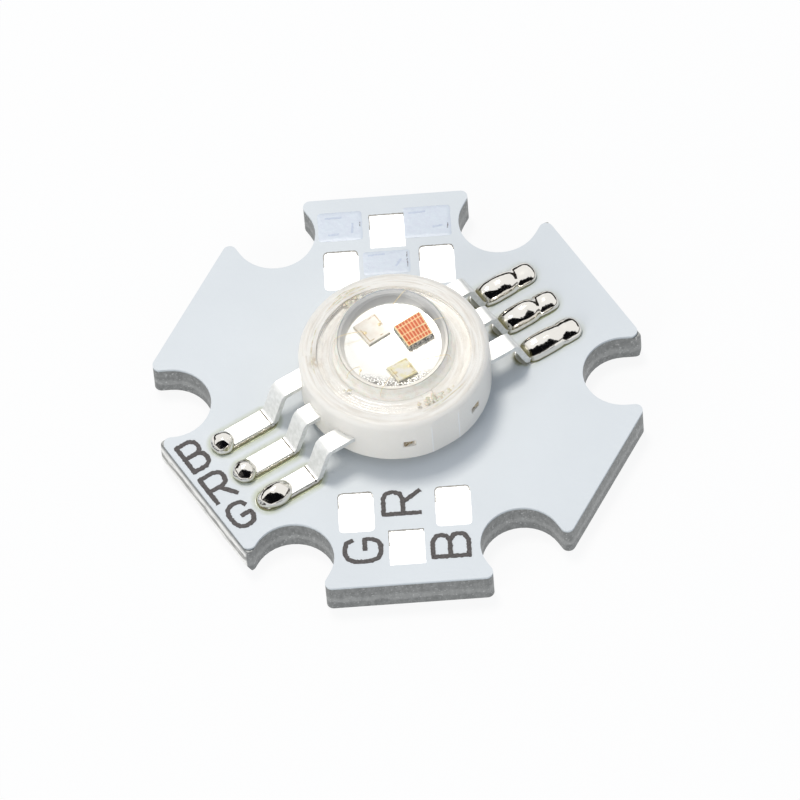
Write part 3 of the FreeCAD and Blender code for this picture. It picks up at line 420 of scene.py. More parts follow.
def plated_lead():
    """Stamped lead frame, matt silver plated: white flats, mottled wear and painted shade on sloped faces, a
    painted shade line in each foot's crease, and flux with painted shade under the right leads.
    """
    material = new_material("silver_plated_lead")
    mottle = grain(material, 0.22, 3.0)
    facing = add(material, "SeparateXYZ", [add(material, "NewGeometry").outputs["True Normal"]]).outputs["Z"]
    # Sloped faces greyer: mottled wear and painted shade
    slope = add(material, "MapRange", [facing, 0.97, 0.75])
    worn_and_shaded = add(material, "MapRange", [mottle, 0.35, 0.65, 0.1, 0.7])
    worn_and_shaded = add(material, "Math", [slope, worn_and_shaded], operation="MULTIPLY")
    tone = add(material, "Mix", {0: worn_and_shaded, 6: emitter().silver_colour, 7: "DCDDD8"}, data_type="RGBA")
    place = add(material, "SeparateXYZ", [place_on(material)]).outputs
    # Olive undersides of the right leads: flux residue and painted shade
    under = add(material, "MapRange", [facing, -0.05, -0.3, 0.0, 0.9])
    for limit in (add(material, "MapRange", [place["X"], 0.0, 1.0]),
                  add(material, "MapRange", [place["Z"], 2.9, 2.5])):
        under = add(material, "Math", [under, limit], operation="MULTIPLY")
    tone = add(material, "Mix", {0: under, 6: tone, 7: "8F8A63"}, data_type="RGBA")
    # Painted shade line in the crease at each foot, broken up
    crease = add(material, "Math", [lead_plane(material)[0], FOOT_CREASE, 0.03], operation="COMPARE")
    broken = add(material, "MapRange", [grain(material, 0.3, 1.0), 0.3, 0.5, 0.6, 1.0])
    crease = add(material, "Math", [crease, broken], operation="MULTIPLY")
    add(material, "OutputMaterial", [add(material, "BsdfPrincipled", {
        "Base Color": add(material, "Mix", {0: crease, 6: tone, 7: "3E382F"}, data_type="RGBA"),
        "Metallic": add(material, "MapRange", [slope, 0.0, 1.0, 0.6, 0.1]), "Roughness": 0.38,
        "Normal": add(material, "Bump", {"Height": mottle, "Distance": 0.006 * MM})})])
    return material


def sheared_stub():
    """Sheared end of a tie bar: bare copper alloy, brownish and torn, with plating left at places."""
    material = new_material("sheared_copper_alloy")
    torn = grain(material, 0.07, 3.0)
    plating = add(material, "MapRange", [torn, 0.42, 0.6])
    add(material, "OutputMaterial", [add(material, "BsdfPrincipled", {
        "Base Color": add(material, "Mix", {0: plating, 6: "8E7448", 7: "D8CDB6"}, data_type="RGBA"),
        "Metallic": 0.6, "Roughness": 0.45,
        "Normal": add(material, "Bump", {"Height": torn, "Distance": 0.03 * MM})})])
    return material


def bright_solder():
    """Solder joint: mirror bright metal, with olive flux and painted shade in a band low round its edge and
    at the right heels.
    """
    material = new_material("bright_solder")
    place = add(material, "SeparateXYZ", [place_on(material)]).outputs
    lumps = grain(material, 0.3, 2.0)
    metal = add(material, "BsdfPrincipled", {
        "Base Color": emitter().solder_colour, "Metallic": 1.0,
        "Roughness": add(material, "MapRange", [lumps, 0.0, 1.0, 0.05, 0.15]),
        "Normal": add(material, "Bump", {"Height": lumps, "Distance": 0.012 * MM})})
    # Low band round the joint and the right heels: olive flux residue and painted shade
    edge = add(material, "Math", [lumps, 0.08, place["Z"]], operation="MULTIPLY_ADD")
    deep = add(material, "MapRange", [edge, COPPER_TOP + 0.05, COPPER_TOP + 0.12])
    flux_and_shade_band = add(material, "Mix", {0: deep, 6: "B9BFA0", 7: emitter().flux_and_shade_colour}, data_type="RGBA")
    heel = add(material, "MapRange", [lead_plane(material)[0], PAD_INNER - 0.02, PAD_INNER - 0.16, 0.0, 0.9])
    right = add(material, "MapRange", [place["X"], 0.0, 1.0])
    heel = add(material, "Math", [heel, right], operation="MULTIPLY")
    flux = add(material, "BsdfPrincipled", {
        "Base Color": add(material, "Mix", {0: heel, 6: flux_and_shade_band, 7: "7F7A50"}, data_type="RGBA"),
        "Roughness": 0.2, "IOR": 1.52, "Metallic": 0.25})
    low = add(material, "MapRange", [edge, COPPER_TOP + 0.17, COPPER_TOP + 0.11])
    low = add(material, "Math", [low, heel], operation="MAXIMUM")
    add(material, "OutputMaterial", [add(material, "MixShader", [low, metal, flux])])
    return material


def on_die(material, centre):
    """A point's place along a die's two sides, from its centre."""
    moved = add(material, "VectorMath", [place_on(material), centre / MM], operation="SUBTRACT")
    turned = add(material, "VectorRotate", {"Vector": moved, "Angle": -LEAD_ANGLE}, rotation_type="Z_AXIS")
    return add(material, "SeparateXYZ", [turned]).outputs[:2]


def stripes(material, along, pitch, share):
    """1 on narrow lines that repeat at a pitch in millimetres, 0 between them."""
    turn = add(material, "Math", [along, pitch], operation="DIVIDE")
    turn = add(material, "Math", [turn], operation="FRACT")
    return add(material, "Math", [turn, share], operation="LESS_THAN")


def from_centre(material, across, along):
    """The larger of a point's two distances from the middle of a square."""
    sides = [add(material, "Math", [side], operation="ABSOLUTE") for side in (across, along)]
    return add(material, "Math", sides, operation="MAXIMUM")


def finger_die(centre):
    """Red die: opaque crystal under a framed comb of fine gold fingers, with rough dark sawn sides."""
    material = new_material("fingered_crystal")
    across, along = on_die(material, centre)
    comb = add(material, "Math", [stripes(material, across, 0.1, 0.2), stripes(material, along, 0.26, 0.1)],
               operation="MAXIMUM")
    rim = add(material, "Math", [from_centre(material, across, along), 0.39], operation="GREATER_THAN")
    lines = add(material, "Math", [comb, rim], operation="MAXIMUM")
    frost = add(material, "MapRange", [grain(material, 0.12, 2.0), 0.35, 0.65])
    field = add(material, "Mix", {0: frost, 6: emitter().red_die_colour, 7: "E0661C"}, data_type="RGBA")
    top = add(material, "Mix", {0: lines, 6: field, 7: "FBE0A8"}, data_type="RGBA")
    sawn = add(material, "MapRange", [grain(material, 0.07, 2.0), 0.44, 0.56])
    side = add(material, "Mix", {0: sawn, 6: "3E3A36", 7: "D2CCC2"}, data_type="RGBA")
    facing = add(material, "SeparateXYZ", [add(material, "NewGeometry").outputs["True Normal"]]).outputs["Z"]
    level = add(material, "MapRange", [facing, 0.4, 0.6])
    add(material, "OutputMaterial", [add(material, "BsdfPrincipled", {
        "Base Color": add(material, "Mix", {0: level, 6: side, 7: top}, data_type="RGBA"),
        "Roughness": 0.5, "IOR": 1.45})])
    return material


def clear_die(name, colour, centre):
    """Unlit blue or green die: pale clear crystal on a mirror, with a thin frame of contact metal."""
    material = new_material(name)
    near = from_centre(material, *on_die(material, centre))
    marks = add(material, "Math", [near, 0.3, 0.014], operation="COMPARE")
    for limit in (add(material, "MapRange", [grain(material, 0.2, 1.0), 0.42, 0.55]), 0.8):
        marks = add(material, "Math", [marks, limit], operation="MULTIPLY")
    cloud = add(material, "MapRange", [grain(material, 0.25, 2.0), 0.35, 0.65])
    field = add(material, "Mix", {0: cloud, 6: colour, 7: "F4EEE2"}, data_type="RGBA")
    add(material, "OutputMaterial", [add(material, "BsdfPrincipled", {
        "Base Color": add(material, "Mix", {0: marks, 6: field, 7: "B79252"}, data_type="RGBA"),
        "Roughness": 0.25, "IOR": 1.76})])
    return material


def drawn_gold():
    """Drawn gold wire: warm and bright."""
    material = new_material("drawn_gold")
    add(material, "OutputMaterial", [add(material, "BsdfPrincipled", {
        "Base Color": emitter().gold_colour, "Metallic": 1.0,
        "Roughness": add(material, "MapRange", [grain(material, 0.03, 1.0), 0.0, 1.0, 0.2, 0.4])})])
    return material


def silver_paste():
    """Silver filled die attach: grey and granular."""
    material = new_material("silver_paste")
    grains = grain(material, 0.03, 1.0)
    add(material, "OutputMaterial", [add(material, "BsdfPrincipled", {
        "Base Color": add(material, "Mix", {0: grains, 6: "8E8C86", 7: "C8C6C0"}, data_type="RGBA"),
        "Metallic": 0.7, "Roughness": 0.5,
        "Normal": add(material, "Bump", {"Height": grains, "Distance": 0.01 * MM})})])
    return material


def clear_lens():
    """Clear moulded lens and its gel: a polished dome on a satin flange, and lamps shine through."""
    material = new_material("clear_moulded_lens")
    flange = add(material, "MapRange", [from_axis(material), 2.75, 2.9])
    height = add(material, "Math", [grain(material, 0.8, 2.0), flange], operation="MULTIPLY")
    glass = add(material, "BsdfPrincipled", {
        "Base Color": (1.0, 0.998, 0.99, 1.0), "IOR": emitter().gel_index, "Transmission Weight": 1.0,
        "Roughness": add(material, "MapRange", [from_axis(material), 2.58, 2.75, 0.0, 0.16]),
        "Normal": add(material, "Bump", {"Height": height, "Distance": 0.03 * MM})})
    path = add(material, "LightPath").outputs
    passed = add(material, "Math", [path["Is Shadow Ray"], path["Is Diffuse Ray"]], operation="MAXIMUM")
    clear = add(material, "BsdfTransparent")
    add(material, "OutputMaterial", [add(material, "MixShader", [passed, glass, clear])])
    return material


def cured_silicone(name, first, second, depth):
    """Silicone that set round the lens: milky and wet looking, lumpy where it was squeezed out."""
    material = new_material(name)
    lumps = grain(material, 0.2, 3.0)
    swell = add(material, "MapRange", [lumps, 0.35, 0.65])
    add(material, "OutputMaterial", [add(material, "BsdfPrincipled", {
        "Base Color": add(material, "Mix", {0: swell, 6: first, 7: second}, data_type="RGBA"),
        "Roughness": 0.3, "IOR": 1.41, "Subsurface Weight": 0.2, "Subsurface Scale": 0.1 * MM,
        "Normal": add(material, "Bump", {"Height": lumps, "Distance": depth * MM})})])
    return material


# Shaping

def dress(material, *nodes):
    """Give pieces that keep their own shape a material."""
    for name in nodes:
        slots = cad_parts[name].data.materials
        slots.clear()
        slots.append(material)


def place_mesh(name, mesh, material):
    """Turn a finished mesh into an object of one material."""
    data = bpy.data.meshes.new(name)
    mesh.to_mesh(data)
    mesh.free()
    data.materials.append(material)
    placed = bpy.data.objects.new(name, data)
    bpy.context.scene.collection.objects.link(placed)
    return placed


def make_piece(name, mesh, material, replaces=()):
    """Turn a mesh under construction, in millimetres, into a piece of the LED."""
    sharp = math.radians(38)
    bmesh.ops.scale(mesh, vec=(MM, MM, MM), verts=mesh.verts)
    bmesh.ops.recalc_face_normals(mesh, faces=mesh.faces)
    for face in mesh.faces:
        face.smooth = True
    for edge in mesh.edges:
        edge.smooth = len(edge.link_faces) != 2 or edge.calc_face_angle(0) < sharp
    piece = place_mesh(name, mesh, material)
    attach(piece, "root")
    if replaces:
        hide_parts(*replaces)


def on_leads(u, v, z, half_turn=0):
    """Point at u along the lead rows and v across them, in millimetres."""
    angle = LEAD_ANGLE + math.radians(half_turn)
    return Vector((u * math.cos(angle) - v * math.sin(angle), u * math.sin(angle) + v * math.cos(angle), z))


def round_axis(reach, turn, z=0.0):
    """Point at a reach from the upright axis, turned about it."""
    return Vector((reach * math.cos(turn), reach * math.sin(turn), z))


def row_offset(row, half_turn):
    """Place of a row across the leads, as its own side of the emitter sees it."""
    return (-row if half_turn == 180 else row) * LEAD_PITCH


def heading(points, index):
    """Way along points at one of them."""
    return (points[min(index + 1, len(points) - 1)] - points[max(index - 1, 0)]).normalized()


def divide(points, spacing, least):
    """Points along straight runs, about a spacing apart and at least so many to a run, without the last."""
    dense = []
    for start, finish in zip(points, points[1:]):
        count = max(least, round((finish - start).length / spacing))
        dense += [start.lerp(finish, step / count) for step in range(count)]
    return dense


def skin(mesh, loops, ends):
    """Join closed loops of vertices by bands of faces, and close the loops that are ends."""
    for inner, outer in zip(loops, loops[1:]):
        for step in range(len(inner)):
            following = (step + 1) % len(inner)
            mesh.faces.new([inner[step], inner[following], outer[following], outer[step]])
    for end in ends:
        mesh.faces.new(end)


def revolve(profile, turns):
    """Turn a closed half section, given from one point on the axis to another, about the axis."""
    mesh = bmesh.new()
    rings = []
    for radius, z in profile:
        if radius < 1e-9:
            rings.append([mesh.verts.new((0, 0, z))])
            continue
        angles = [2 * math.pi * step / turns for step in range(turns)]
        rings.append([mesh.verts.new(round_axis(radius, angle, z)) for angle in angles])
    for inner, outer in zip(rings, rings[1:]):
        for step in range(turns):
            following = (step + 1) % turns
            corners = [inner[step % len(inner)], inner[following % len(inner)],
                       outer[following % len(outer)], outer[step % len(outer)]]
            mesh.faces.new(list(dict.fromkeys(corners)))
    return mesh


def pad_rim(start, finish, width, steps):
    """Places along the middle of a round-ended pad, each with its way out to the rim, once round the pad."""
    straight = finish - start
    half_way = straight + math.pi * width
    rim = []
    for step in range(steps // 2):
        run = 2 * half_way * step / steps
        if run < straight:
            rim.append((start + run, Vector((0, -1))))
        else:
            turn = (run - straight) / width - math.pi / 2
            rim.append((finish, Vector((math.cos(turn), math.sin(turn)))))
    return rim + [(start + finish - along, -way) for along, way in rim]


def mound(start, finish, width, height_at, half_turn, across):
    """Round-ended lump on a pad, whose height comes from height_at(u, v, way in from the rim)."""
    rings = 22
    steps = 120
    edge = 0.012
    mesh = bmesh.new()
    loops = []
    for ring in range(rings + 1):
        out = math.sin(ring / rings * math.pi / 2)
        loop = []
        for along, way in pad_rim(start, finish, width, steps):
            spot = Vector((along, 0)) + way * width * out
            height = height_at(spot.x, spot.y, width * (1 - out))
            loop.append(mesh.verts.new(on_leads(spot.x, spot.y + across, COPPER_TOP + height, half_turn)))
        loops.append(loop)
    for vertex in loops[-1]:
        vertex.co.z = COPPER_TOP + edge
    loops.append([mesh.verts.new((vertex.co.x, vertex.co.y, COPPER_TOP)) for vertex in loops[-1]])
    skin(mesh, loops, loops[-1:])
    bmesh.ops.remove_doubles(mesh, verts=mesh.verts, dist=1e-5)
    return mesh


def loaf(u, v, middle, half_length, half_width, height):
    """Height of a loaf-shaped lump over the copper, crowned across and flat along."""
    room = 1 - abs((u - middle) / half_length) ** 4 - abs(v / half_width) ** 2.2
    return height * math.sqrt(room) if room > 0 else 0.0


def add_ball(mesh, centre, radii, half_turn):
    """Add a lumpy ball in the leads' own frame, flat where it meets the board."""
    wobble = 0.07
    floor = COPPER_TOP + 0.002
    made = bmesh.ops.create_uvsphere(mesh, u_segments=56, v_segments=36, radius=1.0)
    for vertex in made["verts"]:
        bulge = 1 + wobble * noise.noise(vertex.co * 1.7 + Vector((centre[0], centre[1], 0)))
        local = Vector((vertex.co.x * radii[0], vertex.co.y * radii[1], vertex.co.z * radii[2])) * bulge
        level = max(centre[2] + local.z, floor)
        vertex.co = on_leads(centre[0] + local.x, centre[1] + local.y, level, half_turn)


def smooth_path(posts):
    """Points on a smooth curve through some posts."""
    steps = 8
    ends = [posts[0] * 2 - posts[1], *posts, posts[-1] * 2 - posts[-2]]
    points = []
    for a, b, c, d in zip(ends, ends[1:], ends[2:], ends[3:]):
        for step in range(steps):
            s = step / steps
            points.append(((b * 2) + (c - a) * s + (a * 2 - b * 5 + c * 4 - d) * s * s
                           + (b * 3 - a - c * 3 + d) * s * s * s) / 2)
    points.append(posts[-1])
    return points


def add_thread(mesh, points, radius, flat=1.0, taper=False):
    """Add a tube along points, flattened upwards by a share, and run out thin at its ends if it tapers."""
    sides = 8
    rings = []
    for index, point in enumerate(points):
        ahead = heading(points, index)
        side = ahead.cross(Vector((0, 0, 1)))
        if side.length < 0.2:
            side = Vector((1, 0, 0)) - ahead * ahead.x
        side.normalize()
        over = side.cross(ahead)
        share = min(index, len(points) - 1 - index) / (len(points) / 2)
        width = radius * (min(1.0, share * 2.5 + 0.15) if taper else 1.0)
        angles = [2 * math.pi * step / sides for step in range(sides)]
        rings.append([mesh.verts.new(point + side * width * math.cos(a) + over * width * flat * math.sin(a))
                      for a in angles])
    skin(mesh, rings, [rings[0], rings[-1]])


def letter_strokes(letter):
    """Strokes of a plain letter on a field 1 wide and 1 high, as lists of points."""
    if letter == "B":
        return [[(0, 0), (0, 1), (0.66, 1), (0.92, 0.9), (0.97, 0.76), (0.9, 0.6), (0.7, 0.52), (0, 0.52)],
                [(0.7, 0.52), (0.94, 0.42), (1, 0.26), (0.94, 0.1), (0.68, 0), (0, 0)]]
    if letter == "R":
        return [[(0, 0), (0, 1), (0.68, 1), (0.92, 0.92), (1, 0.74), (0.92, 0.55), (0.68, 0.46), (0, 0.46)],
                [(0.5, 0.46), (0.98, 0)]]
    return [[(0.96, 0.8), (0.86, 0.95), (0.6, 1), (0.38, 1), (0.14, 0.92), (0.02, 0.72), (0, 0.5),
             (0.03, 0.26), (0.14, 0.08), (0.38, 0), (0.66, 0), (0.88, 0.07), (0.99, 0.24), (0.99, 0.44),
             (0.56, 0.44)]]


def add_ribbon(mesh, points, half_width, low, high, seed, rag=0.04):
    """Add a flat printed stroke through points, with the ragged edge of a screen print."""
    dense = [*divide(points, 0.045, 2), points[-1]]
    lead = (dense[0] - dense[1]).normalized() * half_width
    tail = (dense[-1] - dense[-2]).normalized() * half_width
    dense = [dense[0] + lead * 0.8, *dense, dense[-1] + tail * 0.8]
    sections = []
    for index, point in enumerate(dense):
        top = high + 0.006 * index / len(dense)
        ahead = heading(dense, index)
        side = Vector((-ahead.y, ahead.x))
        edges = []
        for sign in (1, -1):
            ragged = noise.noise(Vector((point.x * 13, point.y * 13, seed + sign))) * rag
            edges.append(point + side * sign * (half_width + ragged))
        corners = ((edges[0], low), (edges[0], top), (edges[1], top), (edges[1], low))
        sections.append([mesh.verts.new((edge.x, edge.y, z)) for edge, z in corners])
    skin(mesh, sections, [sections[0], sections[-1]])


def print_letter(name, letter, corner, right, up, width, height, material):
    """Print one letter: corner is its lower left, right and up are its own directions on the board."""
    mesh = bmesh.new()
    half = board().stroke_width / MM / 2
    for index, stroke in enumerate(letter_strokes(letter)):
        points = [corner + right * (half + x * (width - 2 * half)) + up * (half + y * (height - 2 * half))
                  for x, y in stroke]
        top = MASK_TOP + (board().ink_height / MM + 0.002 * index)
        add_ribbon(mesh, points, half, PRINT_BASE, top, index * 3.7 + ord(letter))
    make_piece(name, mesh, material)


def add_patch(mesh, x_low, x_high, y_low, y_high, seed):
    """Add a thin printed patch with rounded corners and a soft ragged edge."""
    corner = 0.12
    height = 0.012
    middle = Vector(((x_low + x_high) / 2, (y_low + y_high) / 2, 0))
    half = Vector(((x_high - x_low) / 2 - corner, (y_high - y_low) / 2 - corner, 0))
    outline = []
    for quarter, (right, back) in enumerate(((1, 1), (-1, 1), (-1, -1), (1, -1))):
        for step in range(7):
            turn = math.radians(90 * quarter + 15 * step)
            outline.append(middle + Vector((right * half.x, back * half.y, 0)) + round_axis(1, turn) * corner)
    loops = []
    for inset, z in ((0, PRINT_BASE), (0, MASK_TOP + height * 0.4), (0.03, MASK_TOP + height),
                     (0.2, MASK_TOP + height)):
        loop = []
        for point in divide(outline + outline[:1], 0.08, 1):
            ragged = noise.noise(Vector((point.x * 6, point.y * 6, seed))) * 0.02
            spot = point + (middle - point).normalized() * (inset + ragged)
            loop.append(mesh.verts.new((spot.x, spot.y, z)))
        loops.append(loop)
    skin(mesh, loops, [loops[0], loops[-1]])


# Operators

class STARLED_OT_dress_board(bpy.types.Operator):
    """Give the layers of the star board their finishes"""
    bl_idname = "starled.dress_board"
    bl_label = "Dress Board"

    def execute(self, context):
        dress(cut_aluminium(), "base_plate")
        dress(filled_epoxy(), "dielectric_layer")
        dress(white_mask(), "solder_mask")
        tracks = [f"copper_{side}_{row}" for side in SIDES for row in ROWS]
        dress(hot_air_tin(), "slug_land", *tracks)
        dress(heat_compound(), "thermal_compound")
        return {"FINISHED"}


class STARLED_OT_print_marks(bpy.types.Operator):
    """Print the channel letters and the overprinted patches"""
    bl_idname = "starled.print_marks"
    bl_label = "Print Marks"

    def execute(self, context):
        ink = printed_ink("dark_marking_ink", board().ink_colour, "575252")
        self.letter_pads(ink)
        self.letter_leads(ink)
        self.coat_patches()
        self.outline_pads()
        self.show_old_marks()
        return {"FINISHED"}

    def letter_pads(self, ink):
        """Letters beside the front wire pads, read from the right."""
        right, up = Vector((0, 1)), Vector((-1, 0))
        width, height = 1.33, 1.72
        for letter, x_high, y_low in (("G", -1.0, -8.88), ("R", 0.73, -6.58), ("B", 2.7, -8.9)):
            corner = Vector((x_high, y_low))
            print_letter(f"pad_letter_{letter}", letter, corner, right, up, width, height, ink)

    def letter_leads(self, ink):
        """Letters beside the left leads, square to them."""
        right = on_leads(1, 0, 0).to_2d()
        up = on_leads(0, 1, 0).to_2d()
        # Lower left corner as u and v, width and height
        letters = (("B", -9.5, 1.14, 1.08, 1.66), ("R", -9.55, -0.75, 1.18, 1.62),
                   ("G", -9.52, -2.4, 1.12, 1.42))
        for letter, u, v, width, height in letters:
            corner = on_leads(u, v, 0).to_2d()
            print_letter(f"lead_letter_{letter}", letter, corner, right, up, width, height, ink)

    def coat_patches(self):
        """Patches of a second coat over the old marks at the back."""
        coat = second_coat()
        # Left, right, front and back edges
        boxes = {"back_left": (-2.95, -1.05, 7.8, 9.3), "back_right": (0.75, 2.75, 7.7, 9.3),
                 "back_middle": (-1.1, 0.9, 5.9, 7.1)}
        for name, box in boxes.items():
            mesh = bmesh.new()
            add_patch(mesh, *box, len(name))
            make_piece(f"coat_patch_{name}", mesh, coat)

    def outline_pads(self):
        """Thin dark line of painted shadow in the step of the mask, along the back and left edges of each
        wire pad.
        """
        half = 0.735
        # Middle and back edge of each pad
        pads = ((-2.05, 7.25), (2.05, 7.25), (0, 9.05), (-2.05, -5.25), (2.05, -5.25), (0, -7.3))
        mesh = bmesh.new()
        for index, (x, back) in enumerate(pads):
            left, right = x - half, x + half
            corner = 0.16 if x else 0.02
            bend = corner * 0.35
            line = ((left, back - 0.75), (left, back - corner - 0.02), (left + bend, back - bend),
                    (left + corner, back - 0.012), (right - corner, back - 0.012),
                    (right - bend, back - bend), (right, back - corner - 0.1))
            points = [Vector(point) for point in line]
            # Painted shadow of the mask's edge
            add_ribbon(mesh, points, 0.018, MASK_TOP - 0.03, MASK_TOP + 0.001, index * 2.3, 0.02)
        make_piece("pad_edge_shade_lines", mesh, printed_ink("painted_edge_shade", "8F8B82", "B4B2AC"))

    def show_old_marks(self):
        """Faint bars of the old marks, seen through the second coat, and dark specks at its right border."""
        # Each from one point to another
        bars = ((-2.6, 9.0, -1.95, 9.02), (-1.5, 8.2, -1.46, 8.65), (-2.5, 8.12, -2.1, 8.15),
                (-0.85, 6.92, -0.2, 6.95), (0.3, 6.3, 0.5, 6.62), (1.0, 9.0, 1.65, 9.03),
                (2.0, 8.2, 2.35, 8.26))
        specks = ((0.78, 6.72, 0.8, 6.98), (0.8, 6.2, 0.79, 6.5), (0.77, 6.56, 0.79, 6.62),
                  (2.6, 8.1, 2.61, 8.35), (-1.15, 8.5, -1.14, 8.7))
        prints = (("old_marks", bars, 0.045, "CAD3E3", "D2DAE7"),
                  ("edge_specks", specks, 0.014, "77757C", "A5A4AA"))
        for name, lines, half, colour, thin_colour in prints:
            mesh = bmesh.new()
            for index, (x, y, x_end, y_end) in enumerate(lines):
                ends = [Vector((x, y)), Vector((x_end, y_end))]
                add_ribbon(mesh, ends, half, MASK_TOP, MASK_TOP + 0.014, index * 1.9, 0.03)
            make_piece(name, mesh, printed_ink(name, colour, thin_colour))


class STARLED_OT_dress_housing(bpy.types.Operator):
    """Give the moulded ring its white polymer and its cut tie bars their bare metal"""
    bl_idname = "starled.dress_housing"
    bl_label = "Dress Housing"

    def execute(self, context):
        dress(moulded_housing(), "housing")
        dress(sheared_stub(), *[f"tie_bar_{end}_{side}" for end in ("back", "front") for side in SIDES])
        return {"FINISHED"}


class STARLED_OT_plate_slug(bpy.types.Operator):
    """Plate the heat slug and its reflector cup"""
    bl_idname = "starled.plate_slug"
    bl_label = "Plate Slug"

    def execute(self, context):
        dress(plated_slug(), "heat_slug")
        return {"FINISHED"}


class STARLED_OT_plate_leads(bpy.types.Operator):
    """Plate the six leads"""
    bl_idname = "starled.plate_leads"
    bl_label = "Plate Leads"

    def execute(self, context):
        dress(plated_lead(), *[f"lead_{side}_{row}" for side in SIDES for row in ROWS])
        return {"FINISHED"}


class STARLED_OT_mount_dies(bpy.types.Operator):
    """Give the three dies their crystal and contacts, and the paste under them its silver"""
    bl_idname = "starled.mount_dies"
    bl_label = "Mount Dies"

    def execute(self, context):
        centres = {}
        for colour in ("red", "blue", "green"):
            low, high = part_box(f"die_{colour}")
            centres[colour] = (low + high) / 2
        dress(finger_die(centres["red"]), "die_red")
        dress(clear_die("blue_crystal", emitter().blue_die_colour, centres["blue"]), "die_blue")
        dress(clear_die("green_crystal", emitter().green_die_colour, centres["green"]), "die_green")
        dress(silver_paste(), *[f"die_attach_{colour}" for colour in centres])
        return {"FINISHED"}


class STARLED_OT_flow_solder(bpy.types.Operator):
    """Flow the six solder joints over the leads' feet"""
    bl_idname = "starled.flow_solder"
    bl_label = "Flow Solder"

    def execute(self, context):
        material = bright_solder()
        for row in ROWS:
            self.flow_left(row, material)
        for row in ROWS:
            self.flow_right(row, material)
        return {"FINISHED"}

    def flow_left(self, row, material):
        """Solder that climbs a little round a bare foot, with a bead beyond its toe."""
        across = row_offset(ROWS[row], 180)
        film, climb_height, heel = 0.016, 0.19, 5.1
        # Place along the row and beside it, half length and radius
        beads = {"back": (7.66, 0.02, 0.52, 0.52), "middle": (7.68, 0.04, 0.52, 0.52),
                 "front": (7.24, 0.03, 0.83, 0.54)}

        def beside_foot(u, v, way_in):
            """Height of the solder, highest along the two sides of the foot."""
            climb = max(0.0, 1 - abs(abs(v) - FOOT_HALF) / 0.15) ** 2 if abs(v) > FOOT_HALF else 1.0
            reach = max(0.0, min(1.0, (u - heel) / 0.3))
            return film + climb_height * climb * reach * min(1.0, way_in / 0.12)

        mesh = mound(PAD_INNER, PAD_OUTER, SOLDER_HALF, beside_foot, 180, across)
        centre, shift, length, radius = beads[row]
        add_ball(mesh, (centre, across + shift, COPPER_TOP + 0.16), (length, radius, radius), 180)
        make_piece(f"solder_joint_left_{row}", mesh, material, [f"solder_left_{row}"])

    def flow_right(self, row, material):
        """Two lumps of solder that cover a foot and its toe."""
        number = ROWS[row]
        # Middle along the row, half length, half width and height
        loaves = {"back": ((6.24, 1.06, 0.585, 0.66), (7.45, 0.7, 0.575, 0.44)),
                  "middle": ((6.22, 1.04, 0.585, 0.68), (7.4, 0.74, 0.54, 0.48)),
                  "front": ((6.26, 1.1, 0.585, 0.66), (7.46, 0.68, 0.58, 0.54))}

        def over_foot(u, v, way_in):
            """Height of the solder, the two lumps blended, and never less than a film."""
            ripple = 1 + 0.07 * noise.noise(Vector((u * 1.7, v * 1.7, number * 5.0)))
            heights = [loaf(u, v, *sizes) * ripple for sizes in loaves[row]]
            return max(0.016, sum(height ** 6 for height in heights) ** (1 / 6))

        mesh = mound(5.75, 7.56, SOLDER_HALF, over_foot, 0, row_offset(number, 0))
        make_piece(f"solder_joint_right_{row}", mesh, material, [f"solder_right_{row}"])


